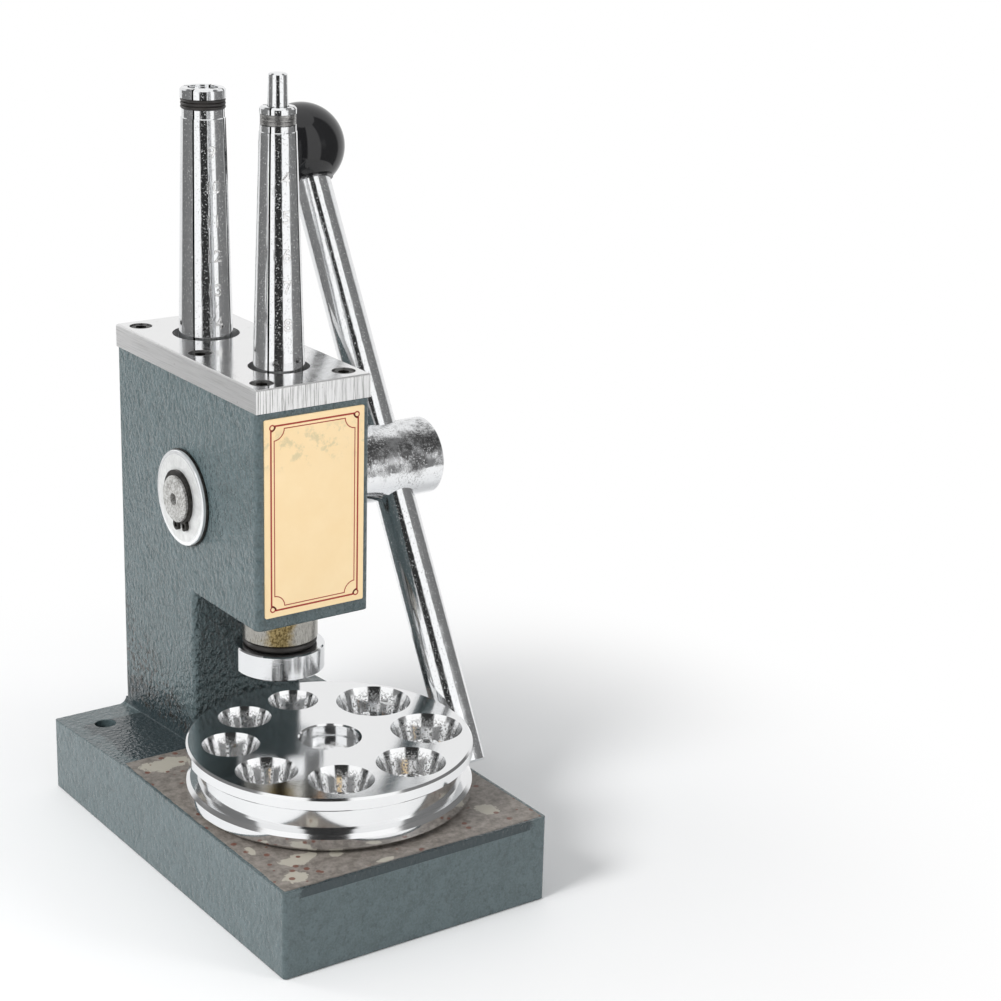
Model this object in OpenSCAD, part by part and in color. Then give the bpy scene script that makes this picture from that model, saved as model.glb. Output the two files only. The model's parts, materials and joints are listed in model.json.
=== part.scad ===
// Bench ring stretcher and reducer.
// A cast frame carries a hand lever. The lever's shaft is also a pinion: the rack in front of it
// drives the reducing ram down, and the rack behind it lifts a yoke with two tapered spindles,
// which spread the four split segments of each mandrel.
// Millimetres. +X is the lever side, +Y the rear, +Z up; the origin is the middle of the underside.

/* [Base] */
// Width of the base across the machine
base_w = 112; // [104:1:124]
// Length of the base, front to rear
base_l = 185; // [180:1:200]
// Height of the machined bed under the die plate
bed_z = 33.5; // [28:0.2:36]
// Drop of the cast ledges from the bed to the rear edge
ledge_drop = 4; // [1:0.5:6]
// Radius of the upright corners of the base
base_corner_r = 1.5; // [1:0.5:8]
// Diameter of the two bench screw holes
bench_hole_d = 8.6; // [6.6:0.2:9.5]
// Distance between the two bench screw holes
bench_hole_gap = 83; // [78:1:88]
// Distance from the bench screw holes to the rear edge
bench_hole_inset = 17; // [12:1:24]

/* [Column and head] */
// Width of the column and of the head
head_w = 48; // [47:0.5:56]
// Depth of the column, front to rear
column_d = 61.5; // [58:0.5:63]
// Reach of the head past the column
head_reach = 49.5; // [46:0.5:56]
// Height of the underside of the head
throat_z = 98.1; // [90:0.2:106]
// Radius of the upright corners of column and head
head_corner_r = 2.5; // [1.5:0.5:4]
// Radius of the fillet under the head, at the column
throat_fillet_r = 5; // [2:0.5:8]
// Radius of the fillet around the column's foot
foot_fillet_r = 3; // [1.5:0.5:5]

/* [Top plate] */
// Thickness of the top plate
plate_t = 9; // [8.5:0.1:11]
// Chamfer around the upper edge of the top plate
plate_chamfer = 0.5; // [0.2:0.1:1]
// Distance from a corner screw to the plate's side
screw_edge = 6.8; // [6:0.1:7.5]
// Distance from a corner screw to the plate's end
screw_inset = 8; // [7:0.5:9]
// Shank diameter of the plate screws
screw_d = 5; // [4:0.5:5]
// Head diameter of the plate screws
screw_head_d = 8.5; // [7.5:0.1:8.8]
// Length of the plate screws under the head
screw_l = 16; // [12:1:18]

/* [Mandrels] */
// Distance from the front face of the head to the front mandrel's axis
front_axis_inset = 25.5; // [24.5:0.5:27]
// Height of the shoulder at the top of the front taper
front_taper_z = 277.2; // [262:0.1:282]
// Radius at the top of the front taper
front_top_r = 6.85; // [6.6:0.05:7.4]
// Radius of the front mandrel where it leaves the plate
front_root_r = 9.6; // [9.2:0.1:10]
// Height of the shoulder at the top of the rear taper
rear_taper_z = 274.1; // [262:0.1:280]
// Radius at the top of the rear taper
rear_top_r = 8.5; // [8.3:0.1:9]
// Radius of the rear mandrel where it leaves the plate
rear_root_r = 10.5; // [10.2:0.1:11]
// Radius of the front mandrel's hole in the plate
front_hole_r = 11.5; // [11:0.1:12]
// Radius of the rear mandrel's hole in the plate
rear_hole_r = 13; // [12.4:0.1:13.4]
// Width of the slits between the segments
slit_w = 0.7; // [0.5:0.05:1]
// Turn of the slits from the diagonals, in degrees
slit_turn = -9; // [-44:1:45]
// Width of the step by which a segment's foot passes its hole
foot_lip = 2.4; // [2:0.1:3]
// Thickness of the segments' feet
foot_t = 3.8; // [3:0.1:4.2]

/* [Spindles] */
// Half angle of the spindles' taper, in degrees
wedge_deg = 1.3; // [1:0.05:1.4]
// Length of the front spindle's tip above its collar
front_tip_out = 11.7; // [4:0.1:16]
// Depth of the rear spindle's end below the top of its collar
rear_tip_in = 0.7; // [0.2:0.1:3]
// Thickness of the front mandrel around the tip of its spindle
front_wall = 3.4; // [3.2:0.05:3.6]
// Thickness of the rear mandrel around the end of its spindle
rear_wall = 3.3; // [3.1:0.05:3.6]

/* [Lever and shaft] */
// Diameter of the hub outside the casting
hub_d = 31; // [29:0.5:34]
// Air between the lever and the side of the base
lever_room = 2.1; // [1:0.1:8]
// Distance from the end of the hub to the lever's axis
lever_inset = 18.5; // [13:0.1:20]
// Diameter of the shaft's journal at the left side
journal_d = 18; // [16:0.5:19]
// Lean of the lever to the rear, in degrees
lever_lean = 29.5; // [20:0.5:45]
// Diameter of the lever bar
lever_d = 16; // [14:0.5:17]
// Length of the lever above the shaft's axis, to the ball's centre
lever_up = 134.4; // [120:0.2:150]
// Length of the lever below the shaft's axis
lever_down = 125.4; // [110:0.2:126]
// Diameter of the ball knob
ball_d = 35.3; // [34:0.1:42]

/* [Pinion and racks] */
// Tooth module
tooth_m = 1.5; // [1.4:0.01:1.6]
// Teeth on the pinion
pinion_teeth = 17; // [17:1:18]
// Width of the pinion's teeth
pinion_w = 12; // [10.5:0.5:14]
// Width of the racks
rack_w = 10; // [8:0.5:11]
// Thickness of the racks behind their teeth
rack_body = 6.6; // [6:0.1:7.2]

/* [Ram] */
// Diameter of the ram's stem
ram_d = 29; // [28:0.1:29.4]
// Diameter of the ram's pressing cap
cap_d = 34.3; // [32:0.1:36]
// Height of the pressing cap
cap_h = 10; // [9:0.2:11]
// Way of the ram from rest to its lowest place
down_travel = 15.2; // [12:0.1:16]
// Way of the ram from rest to its highest place
up_travel = 4; // [3:0.1:5]
// Height left between the cap and the die plate at the lowest place
cap_clear = 0.58; // [0.3:0.02:2]

/* [Die plate] */
// Thickness of the die plate
die_t = 20.6; // [19:0.2:21]
// Diameter of the smallest die's mouth
die_mouth_min = 19.4; // [17:0.2:21]
// Diameter of the largest die's mouth
die_mouth_max = 28.8; // [26:0.2:30]
// Depth of the dies
die_depth = 9.5; // [8:0.1:11]
// Width of plate left between two neighbouring dies
die_land = 4.3; // [3:0.1:5]
// Width of plate left outside the largest die
die_rim = 2; // [1.5:0.1:4]
// Half angle of the dies' cones, in degrees
die_taper = 18; // [12:1:30]
// Diameter of the centre pin
pin_d = 22.7; // [20:0.1:24]

/* [Name plate] */
// Width of the blank name plate
badge_w = 42; // [36:0.5:43]
// Height of the blank name plate
badge_h = 76; // [60:0.5:78]
// Thickness of the blank name plate
badge_t = 0.5; // [0.3:0.1:0.8]

/* [Hidden] */
$fn = 64;

// Clearances
run_gap = 0.05;          // a shaft or slide that moves in its hole, on the radius or each side
press_gap = 0.02;        // a piece pressed or screwed into its seat
seat_gap = 0.02;         // a face that rests on another and moves over it
open_gap = 0.7;          // a moving piece that passes a wall
eps = 0.5;               // a cut's run past the face that it opens

// Places
rear_y = base_l / 2;
column_y = rear_y - column_d;
head_l = column_d + head_reach;
head_y = rear_y - head_l;
front_axis_y = head_y + front_axis_inset;
side_x = head_w / 2;
lever_x = base_w / 2 + lever_room + lever_d / 2;
hub_end_x = lever_x + lever_inset;
ledge_z = bed_z - 0.4;
ledge_slope = atan(ledge_drop / column_d);
bench_hole_y = rear_y - bench_hole_inset;

// Plate screws
screw_head_h = screw_d;
screw_sink = 5.4;        // depth of the counterbores in the plate

// Pinion and racks
pitch_r = tooth_m * pinion_teeth / 2;
tip_r = pitch_r + tooth_m;
root_depth = 1.25 * tooth_m;
root_r = pitch_r - root_depth;
base_r = pitch_r * cos(20);
tooth_pitch = PI * tooth_m;
tooth_play = 0.14;       // thinning of every tooth at the pitch line
tip_relief = 0.05;       // of the tooth tips from the shaft's full diameter
shaft_r = tip_r;         // the teeth are cut into the shaft's full diameter
mesh_reach = 6.5;        // half the height over which rack and pinion touch
shank_r = 4.6;           // of a spindle, in the yoke
front_web = 3.075;       // between the front spindle's shank and the window in the yoke
rear_web = 0.775;        // between the rear rack and the rear spindle's shank

// Shaft and rear mandrel follow from the rack in front of the pinion and the one behind it
shaft_y = front_axis_y + shank_r + front_web + open_gap + rack_body + root_depth + pitch_r;
rear_axis_y = shaft_y + pitch_r + root_depth + rack_body + rear_web + shank_r;
front_rack_y = shaft_y - pitch_r;
rear_rack_y = shaft_y + pitch_r;
rack_front_y = front_rack_y - root_depth - rack_body;
rack_rear_y = rear_rack_y + root_depth + rack_body;

// Heights in the head, from its floor up to the top of the casting
floor_t = 9.8;
floor_room = 1.2;
floor_z = throat_z + floor_t;
shaft_z = floor_z + floor_room + down_travel + up_travel + mesh_reach;
yoke_h = 8;
yoke_room = 0.65;
yoke_z = shaft_z + shaft_r + up_travel + yoke_room;
yoke_top_z = yoke_z + yoke_h;
ring_t = 3;
ring_room = 1.4;
ring_z = yoke_top_z + down_travel + ring_room;
casting_z = ring_z + ring_t;
plate_z = casting_z + plate_t;

// Yoke
yoke_w = 24;
yoke_end = 8.6;          // from a spindle's axis to the yoke's end
yoke_corner_r = 3;
window_w = rack_w + 2 * open_gap;
rack_sink = 1.5;         // depth of the seat of the rear rack in the yoke
shank_screw_r = 2;
yoke_screw_r = 1.5;
yoke_screw_head_r = 2.75;
yoke_screw_sink = 3.4;
yoke_screw_l = 12;

// Inside of the casting
room_w = yoke_w + 1;
ring_out_r = room_w / 2 + 2.7;
chamber_r = shaft_r + 1.3;
room_front_y = front_axis_y - yoke_end - 1.6;
room_rear_y = rear_axis_y + yoke_end + 1.8;
mid_screw_x = room_w / 2 + 1.6 + screw_d / 2;

// Rack ends
ram_rack_low_z = shaft_z - mesh_reach - up_travel;
ram_rack_top_z = shaft_z + mesh_reach + down_travel;
yoke_rack_low_z = shaft_z - mesh_reach - down_travel;
ram_top_z = yoke_z - 2 * up_travel - 1;
ram_screw_r = 2;
ram_screw_head_r = 3.5;
ram_screw_edge = 5;
ram_screw_gap = 9;
ram_screw_sink = ram_screw_head_r + 1.2;
ram_screws_z = [ram_rack_low_z + ram_screw_edge, ram_rack_low_z + ram_screw_edge + ram_screw_gap];

// Segments
foot_play = 0.14;        // height left over the feet
foot_z = casting_z + seat_gap;
spread_room = 0.9;       // room for the feet to move out
wedge_gap = 0.06;        // between a spindle and the segments around it
spring_room = 0.5;       // room inside the band for the segments to move out
wedge = tan(wedge_deg);
collar_bevel = 0.7;

// Shaft ends
washer_r = 18.5;
washer_t = 1.5;
shim_r = 18.9;
shim_t = 0.9;
clip_t = 1.2;
hub_clip_t = 1.5;
journal_out = 1.6;       // from the circlip's face to the journal's end
left_bush_wall = 3;
right_bush_wall = 2.6;
grub_d = 8;
grub_l = 4.6;
centre_drill_r = 2.4;
hub_r = hub_d / 2;

// Ball
ball_lip_r = lever_d / 2 + 1.2;
ball_lip_h = 0.8;
ball_flat = sqrt(pow(ball_d / 2, 2) - pow(ball_lip_r + 0.4, 2));
lever_spigot_r = 6;
lever_spigot_l = 19;

// Ram
neck_r = ram_d / 2 - 3;
o_ring_r = 1.35;
neck_h = 2 * o_ring_r + 0.1;
cap_bevel = 0.5;
spigot_r = 7;
spigot_h = 7.5;
bush_wall = 3.4;
tommy_r = 2.8;
tommy_depth = 8;
tommy_turn = 24;

// Die plate
pin_gap = run_gap;
pin_flange_r = pin_d / 2 + 5.6;
pin_flange_t = 1.2;
pin_depth = 16;
pin_shank_r = 8;
pin_recess = 4.5;
die_z = bed_z + pin_flange_t + seat_gap;
die_count = 8;
die_spread = 1.0395;     // the pitch circle's length, as a share of the dies' mouths and lands together
first_die_angle = 81.4;
cap_z = die_z + die_t + cap_clear + down_travel;
stem_z = cap_z + cap_h + neck_h;
die_mouths = [for (i = [0:die_count - 1]) die_mouth(i)];
die_pitch_r = die_spread * (sum(die_mouths) + die_count * die_land) / (2 * PI);
die_axis_y = front_axis_y - die_pitch_r;
die_d = 2 * (die_pitch_r + die_mouth_max / 2 + die_rim);
rim_chamfer = 0.8;
rim_h = 5;
foot_rim_h = 4.8;
groove_depth = 4.1;
groove_slope = 1.4;

// ---------------------------------------------------------------- shared shapes

// Square with round corners, built from exact arcs
module soft_rect(w, l, r) {
    translate([-w / 2 + r, -l / 2]) square([w - 2 * r, l]);
    translate([-w / 2, -l / 2 + r]) square([w, l - 2 * r]);
    for (x = [-1, 1], y = [-1, 1])
        translate([x * (w / 2 - r), y * (l / 2 - r)]) circle(r);
}

// Draws a profile of (y, z) points along X, centred on x = 0
module along_x(w) {
    translate([-w / 2, 0, 0]) rotate([90, 0, 90]) linear_extrude(w) children();
}

// Cylinder along X from x0 to x1 on the shaft's axis
module on_shaft(x0, x1, r) {
    translate([x0, shaft_y, shaft_z]) rotate([0, 90, 0]) cylinder(h = x1 - x0, r = r);
}

// Cross-section of a fillet between a wall and a floor
module fillet_section(r) {
    difference() {
        translate([-1, -1]) square([r + 1, r + 1]);
        translate([r, r]) circle(r);
    }
}

// Turned ring with a bevel on both edges
module ring(r_out, r_in, h, bevel) {
    rotate_extrude() polygon([
        [r_in, 0], [r_out - bevel, 0], [r_out, bevel], [r_out, h - bevel],
        [r_out - bevel, h], [r_in, h]
    ]);
}

// Socket cap screw with its head's underside at z = 0
module cap_screw(d, head_d, head_h, l, key) {
    difference() {
        union() {
            rotate_extrude() polygon([
                [0, 0], [head_d / 2, 0], [head_d / 2, head_h - 0.5], [head_d / 2 - 0.5, head_h],
                [0, head_h]
            ]);
            translate([0, 0, -l]) cylinder(h = l + 0.1, r = d / 2);
        }
        translate([0, 0, head_h - 0.55 * d]) cylinder(h = d, r = key, $fn = 6);
    }
}

// Headless screw with a hexagon socket, its open end at z = 0 and its point below
module grub_screw(d, l, key) {
    difference() {
        translate([0, 0, -l]) cylinder(h = l, r = d / 2);
        translate([0, 0, -l * 0.6]) cylinder(h = l, r = key, $fn = 6);
    }
}

// External circlip around the origin, its ears on either side of the +X direction
module circlip(shaft_radius, t, ear_r, reach = 1.6) {
    groove_r = shaft_radius - 0.6;
    gap_deg = 34;
    linear_extrude(t) difference() {
        union() {
            translate([-0.5, 0]) circle(shaft_radius + reach);
            for (side = [-1, 1])
                rotate(side * gap_deg / 2) translate([shaft_radius + reach, 0]) circle(ear_r);
        }
        circle(groove_r + press_gap);
        polygon([
            [0, 0],
            [2 * shaft_radius, -2 * shaft_radius * tan(gap_deg / 2 - 8)],
            [2 * shaft_radius, 2 * shaft_radius * tan(gap_deg / 2 - 8)]
        ]);
        for (side = [-1, 1])
            rotate(side * gap_deg / 2) translate([shaft_radius + reach + 0.3, 0]) circle(ear_r * 0.42);
    }
}

// Groove in which a circlip sits
module clip_groove(x0, t, r) {
    difference() {
        on_shaft(x0, x0 + t, r + 1);
        on_shaft(x0 - 1, x0 + t + 1, r - 0.6);
    }
}

// ---------------------------------------------------------------- frame

module plate_screw_places() {
    low_y = head_y + screw_inset;
    high_y = rear_y - screw_inset;
    for (side = [-1, 1]) {
        translate([side * (side_x - screw_edge), low_y]) children();
        translate([side * mid_screw_x, (low_y + high_y) / 2]) children();
        translate([side * (side_x - screw_edge), high_y]) children();
    }
}

module base_block() {
    intersection() {
        along_x(base_w) polygon([
            [-rear_y, 0], [rear_y, 0], [rear_y, ledge_z - ledge_drop], [column_y, ledge_z],
            [column_y, bed_z], [-rear_y, bed_z]
        ]);
        linear_extrude(bed_z) soft_rect(base_w, base_l, base_corner_r);
    }
}

module column_and_head() {
    translate([0, rear_y - column_d / 2, bed_z / 2])
        linear_extrude(casting_z - bed_z / 2) soft_rect(head_w, column_d, head_corner_r);
    translate([0, rear_y - head_l / 2, throat_z])
        linear_extrude(casting_z - throat_z) soft_rect(head_w, head_l, head_corner_r);
    translate([0, column_y, throat_z])
        along_x(head_w - 2 * head_corner_r) rotate(180) fillet_section(throat_fillet_r);
}

module column_foot() {
    front_w = head_w - 2 * head_corner_r;
    translate([0, column_y, ledge_z]) along_x(front_w) mirror([1, 0]) fillet_section(foot_fillet_r);
    for (side = [0, 1]) mirror([side, 0, 0]) {
        translate([side_x, rear_y, ledge_z - ledge_drop]) rotate([90 + ledge_slope, 0, 0])
            linear_extrude((column_d - head_corner_r) / cos(ledge_slope))
                fillet_section(foot_fillet_r);
        translate([side_x - head_corner_r, column_y + head_corner_r, ledge_z])
            rotate([0, 0, -90]) rotate_extrude(angle = 90)
                translate([head_corner_r, 0]) intersection() {
                    fillet_section(foot_fillet_r);
                    translate([-1, -1]) square(foot_fillet_r + 1);
                }
    }
}

module casting_cuts() {
    // room for the yoke, open to the plate
    translate([-room_w / 2, room_front_y, yoke_z - up_travel - open_gap])
        cube([room_w, room_rear_y - room_front_y, casting_z]);
    // room for the ram and its rack
    translate([0, front_axis_y, floor_z]) cylinder(h = casting_z - floor_z - 10, r = ram_d / 2 + open_gap);
    translate([-window_w / 2, front_axis_y, floor_z])
        cube([window_w, front_rack_y + tooth_m + 1 - front_axis_y, yoke_z - floor_z]);
    // chamber of the pinion
    on_shaft(-room_w / 2, room_w / 2, chamber_r);
    // slot that guides the rear rack
    translate([-rack_w / 2 - run_gap, shaft_y, yoke_rack_low_z - up_travel - open_gap])
        cube([rack_w + 2 * run_gap, rack_rear_y + run_gap - shaft_y, yoke_z - yoke_rack_low_z]);
    // seats of the bushes
    translate([0, front_axis_y, throat_z - eps])
        cylinder(h = floor_z - throat_z + 2 * eps, r = ram_d / 2 + bush_wall + press_gap);
    on_shaft(room_w / 2 - eps, side_x + eps, shaft_r + run_gap + right_bush_wall + press_gap);
    on_shaft(-side_x - eps, -room_w / 2 + eps, journal_d / 2 + run_gap + left_bush_wall + press_gap);
    // seats of the guide rings
    for (y = [front_axis_y, rear_axis_y])
        translate([0, y, ring_z]) cylinder(h = ring_t + eps, r = ring_out_r + press_gap);
    // tapped holes for the plate
    plate_screw_places() translate([0, 0, plate_z - screw_head_h - screw_l - 2])
        cylinder(h = screw_l + 2, r = screw_d / 2 + press_gap);
    // bench screw holes
    for (side = [-1, 1])
        translate([side * bench_hole_gap / 2, bench_hole_y, -eps])
            cylinder(h = bed_z + 2 * eps, r = bench_hole_d / 2);
    // seat of the centre pin
    translate([0, die_axis_y, bed_z - pin_depth]) cylinder(h = pin_depth + eps, r = pin_shank_r + press_gap);
}

module frame_casting() {
    color("#5f7275") difference() {
        union() {
            base_block();
            column_and_head();
            intersection() {
                column_foot();
                linear_extrude(casting_z) soft_rect(base_w, base_l, base_corner_r);
            }
        }
        casting_cuts();
    }
}

module plate_body() {
    cut = plate_chamfer * sqrt(2);
    difference() {
        linear_extrude(plate_t) square([head_w, head_l], center = true);
        for (side = [-1, 1]) {
            translate([side * head_w / 2, 0, plate_t]) rotate([0, 45, 0])
                cube([cut, head_l + 2, cut], center = true);
            translate([0, side * head_l / 2, plate_t]) rotate([45, 0, 0])
                cube([head_w + 2, cut, cut], center = true);
        }
    }
}

module plate_opening(y, hole_r) {
    foot_room = hole_r + foot_lip + spread_room;
    translate([0, y, casting_z - eps]) cylinder(h = foot_t + foot_play + seat_gap + eps, r = foot_room);
    translate([0, y, casting_z]) cylinder(h = plate_t + eps, r = hole_r);
}

module top_plate() {
    color("#c9cbca") difference() {
        translate([0, rear_y - head_l / 2, casting_z]) plate_body();
        plate_opening(front_axis_y, front_hole_r);
        plate_opening(rear_axis_y, rear_hole_r);
        plate_screw_places() {
            translate([0, 0, casting_z - eps]) cylinder(h = plate_t + 2 * eps, r = screw_d / 2 + 0.15);
            translate([0, 0, plate_z - screw_sink]) cylinder(h = screw_sink + eps, r = screw_head_d / 2 + 0.2);
        }
    }
}

module plate_screws() {
    color("#3a3c3e") plate_screw_places() translate([0, 0, plate_z - screw_sink])
        cap_screw(screw_d, screw_head_d, screw_head_h, screw_l - 1, 2.3);
}

module name_plate() {
    middle_z = (throat_z + casting_z) / 2 + 1.2;
    color("#e6c88f") translate([0, head_y, middle_z]) rotate([90, 0, 0])
        linear_extrude(badge_t) soft_rect(badge_w, badge_h, 0.6);
}

// ---------------------------------------------------------------- shaft and lever

function involute_turn(r) = let (a = acos(min(1, base_r / r))) tan(a) * 180 / PI - a;
half_tooth = 90 / pinion_teeth - (tooth_play / 2) / pitch_r * 180 / PI + involute_turn(pitch_r);
flank_steps = 5;
flank_r = [for (i = [0:flank_steps]) base_r + (tip_r - tip_relief - base_r) * i / flank_steps];

// Outline of the pinion, one tooth pointing along +X
module pinion_outline() {
    polygon([
        for (t = [0:pinion_teeth - 1])
            let (mid = 360 * t / pinion_teeth)
            each concat(
                [polar(root_r, mid - half_tooth)],
                [for (r = flank_r) polar(r, mid - half_tooth + involute_turn(r))],
                [for (i = [flank_steps:-1:0]) polar(flank_r[i], mid + half_tooth - involute_turn(flank_r[i]))],
                [polar(root_r, mid + half_tooth)]
            )
    ]);
}

function polar(r, a) = [r * cos(a), r * sin(a)];

module crank_shaft() {
    journal_x = -side_x - shim_t - washer_t - seat_gap;
    journal_end_x = journal_x - clip_t - journal_out;
    hub_x = side_x + seat_gap + hub_clip_t + press_gap;
    color("#c3c6c8") difference() {
        union() {
            // journal at the left, with a bevelled end
            translate([journal_end_x, shaft_y, shaft_z]) rotate([0, 90, 0]) rotate_extrude() polygon([
                [0, 0], [journal_d / 2 - 0.6, 0], [journal_d / 2, 0.6],
                [journal_d / 2, -journal_end_x - pinion_w / 2 + 0.1], [0, -journal_end_x - pinion_w / 2 + 0.1]
            ]);
            // pinion, with a tooth towards the front rack
            translate([0, shaft_y, shaft_z]) along_x(pinion_w) rotate(180) pinion_outline();
            // full diameter through the right side, and the thicker hub outside it
            on_shaft(pinion_w / 2 - 0.1, hub_x + 0.1, shaft_r);
            translate([hub_x, shaft_y, shaft_z]) rotate([0, 90, 0]) rotate_extrude() polygon([
                [0, 0], [hub_r - 0.3, 0], [hub_r, 0.3], [hub_r, hub_end_x - hub_x - 0.8],
                [hub_r - 0.8, hub_end_x - hub_x], [0, hub_end_x - hub_x]
            ]);
        }
        clip_groove(journal_x - clip_t - press_gap, clip_t + press_gap, journal_d / 2);
        clip_groove(side_x + seat_gap, hub_clip_t + press_gap, shaft_r);
        // cross bore for the lever
        translate([lever_x, shaft_y, shaft_z]) rotate([-lever_lean, 0, 0])
            cylinder(h = 3 * hub_r, r = lever_d / 2 + press_gap, center = true);
        // tapped hole for the grub screw
        on_shaft(lever_x, hub_end_x + eps, grub_d / 2 + press_gap);
        // centre drilling in the journal's end
        on_shaft(journal_end_x - eps, journal_end_x + 2.5, centre_drill_r);
    }
}

module left_shaft_bush() {
    color("#a98c4b") translate([-side_x, shaft_y, shaft_z]) rotate([0, 90, 0])
        ring(journal_d / 2 + run_gap + left_bush_wall, journal_d / 2 + run_gap, side_x - room_w / 2, 0.4);
}

module right_shaft_bush() {
    color("#a98c4b") translate([room_w / 2, shaft_y, shaft_z]) rotate([0, 90, 0])
        ring(shaft_r + run_gap + right_bush_wall, shaft_r + run_gap, side_x - room_w / 2, 0.4);
}

module side_shim() {
    color("#4a4e50") translate([-side_x - shim_t, shaft_y, shaft_z]) rotate([0, 90, 0])
        ring(shim_r, journal_d / 2 + 0.3, shim_t, 0.15);
}

module side_washer() {
    color("#c7c9c8") translate([-side_x - shim_t - washer_t, shaft_y, shaft_z]) rotate([0, 90, 0])
        ring(washer_r, journal_d / 2 + 0.2, washer_t, 0.25);
}

module left_circlip() {
    face_x = -side_x - shim_t - washer_t - seat_gap;
    color("#2b2c2e") translate([face_x - clip_t, shaft_y, shaft_z]) rotate([90, 0, 90])
        rotate(-100) circlip(journal_d / 2, clip_t, 2.3);
}

module right_circlip() {
    color("#2b2c2e") translate([side_x + seat_gap, shaft_y, shaft_z]) rotate([90, 0, 90])
        rotate(8) circlip(shaft_r, hub_clip_t, 2.6, hub_r - shaft_r + 1.2);
}

// Puts a piece on the lever's axis, with z = 0 at the shaft's axis
module on_lever() {
    translate([lever_x, shaft_y, shaft_z]) rotate([-lever_lean, 0, 0]) children();
}

module lever_bar() {
    shoulder = lever_up - ball_flat - ball_lip_h;
    color("#cfd1d2") on_lever() translate([0, 0, -lever_down]) rotate_extrude() polygon([
        [0, 0], [lever_d / 2 - 0.8, 0], [lever_d / 2, 0.8], [lever_d / 2, lever_down + shoulder],
        [lever_spigot_r, lever_down + shoulder], [lever_spigot_r, lever_down + shoulder + lever_spigot_l],
        [0, lever_down + shoulder + lever_spigot_l]
    ]);
}

module ball_knob() {
    color("#151515") on_lever() translate([0, 0, lever_up]) difference() {
        union() {
            intersection() {
                sphere(d = ball_d);
                translate([0, 0, -ball_flat]) cylinder(h = 2 * ball_d, r = ball_d);
            }
            translate([0, 0, -ball_flat - ball_lip_h]) cylinder(h = 2, r = ball_lip_r);
        }
        translate([0, 0, -ball_flat - ball_lip_h - eps])
            cylinder(h = lever_spigot_l + 1 + eps, r = lever_spigot_r + press_gap);
    }
}

module lever_grub_screw() {
    point_x = lever_x + lever_d / 2 + seat_gap;
    color("#26282a") translate([point_x + grub_l, shaft_y, shaft_z]) rotate([0, 90, 0])
        grub_screw(grub_d, grub_l, 2.2);
}

// ---------------------------------------------------------------- ram

// Rack of (y, z) points: teeth point to +Y, pitch line at y = 0, a tooth or a gap at z = 0
module rack_outline(z0, z1, body, tooth_at_zero) {
    half = tooth_pitch / 4 - tooth_play / 2;
    rise = tooth_m * tan(20);
    drop = root_depth * tan(20);
    shift = tooth_at_zero ? 0 : tooth_pitch / 2;
    first = ceil((z0 - shift) / tooth_pitch);
    last = floor((z1 - shift) / tooth_pitch);
    union() {
        translate([-root_depth - body, z0]) square([body, z1 - z0]);
        intersection() {
            for (i = [first - 1:last + 1]) {
                z = shift + i * tooth_pitch;
                polygon([
                    [-root_depth - 0.2, z - half - drop], [tooth_m, z - half + rise],
                    [tooth_m, z + half - rise], [-root_depth - 0.2, z + half + drop]
                ]);
            }
            translate([-3 * tooth_m, z0]) square([5 * tooth_m, z1 - z0]);
        }
    }
}

module ram_stem() {
    slot_y = rack_front_y - press_gap;
    color("#a9a494") difference() {
        union() {
            translate([0, front_axis_y, cap_z + cap_h - spigot_h]) cylinder(h = spigot_h + 0.1, r = spigot_r);
            translate([0, front_axis_y, cap_z + cap_h]) cylinder(h = neck_h + 0.1, r = neck_r);
            translate([0, front_axis_y, stem_z]) rotate_extrude() polygon([
                [0, 0], [ram_d / 2 - 0.5, 0], [ram_d / 2, 0.5], [ram_d / 2, ram_top_z - stem_z - 1],
                [ram_d / 2 - 1, ram_top_z - stem_z], [0, ram_top_z - stem_z]
            ]);
        }
        // seat of the rack
        translate([-rack_w / 2 - press_gap, slot_y, ram_rack_low_z - press_gap])
            cube([rack_w + 2 * press_gap, ram_d, casting_z]);
        // screws that hold the rack, put in from the front
        for (z = ram_screws_z) translate([0, front_axis_y - ram_d / 2 - eps, z]) rotate([-90, 0, 0]) {
            cylinder(h = ram_d, r = ram_screw_r + press_gap);
            cylinder(h = eps + ram_screw_sink, r = ram_screw_head_r + 0.2);
        }
        // blind hole for a tommy bar
        translate([0, front_axis_y, throat_z - 4.6]) rotate([0, 90, tommy_turn])
            translate([0, 0, ram_d / 2 - tommy_depth]) cylinder(h = ram_d, r = tommy_r);
    }
}

module ram_rack() {
    color("#7c8084") difference() {
        translate([0, front_rack_y, shaft_z]) along_x(rack_w)
            rack_outline(ram_rack_low_z - shaft_z, ram_rack_top_z - shaft_z, rack_body, false);
        for (z = ram_screws_z) translate([0, rack_front_y - eps, z]) rotate([-90, 0, 0])
            cylinder(h = rack_body - 1 + eps, r = ram_screw_r + press_gap);
    }
}

module ram_rack_screws() {
    head_y0 = front_axis_y - ram_d / 2 + ram_screw_sink;
    color("#2f3133") for (z = ram_screws_z) translate([0, head_y0, z]) rotate([90, 0, 0])
        cap_screw(2 * ram_screw_r, 2 * ram_screw_head_r, 2 * ram_screw_r, rack_front_y + rack_body - 1.6 - head_y0, 1.7);
}

module ram_guide_bush() {
    color("#a98c4b") translate([0, front_axis_y, throat_z + 0.4])
        ring(ram_d / 2 + bush_wall, ram_d / 2 + run_gap, floor_z - throat_z - 0.4, 0.5);
}

module ram_cap() {
    color("#c4c7c9") translate([0, front_axis_y, cap_z]) difference() {
        rotate_extrude() polygon([
            [0, 0], [cap_d / 2 - 0.6, 0], [cap_d / 2, 0.6], [cap_d / 2, cap_h - cap_bevel],
            [cap_d / 2 - cap_bevel, cap_h], [0, cap_h]
        ]);
        translate([0, 0, cap_h - spigot_h - 0.3]) cylinder(h = spigot_h + 1, r = spigot_r + press_gap);
    }
}

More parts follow.
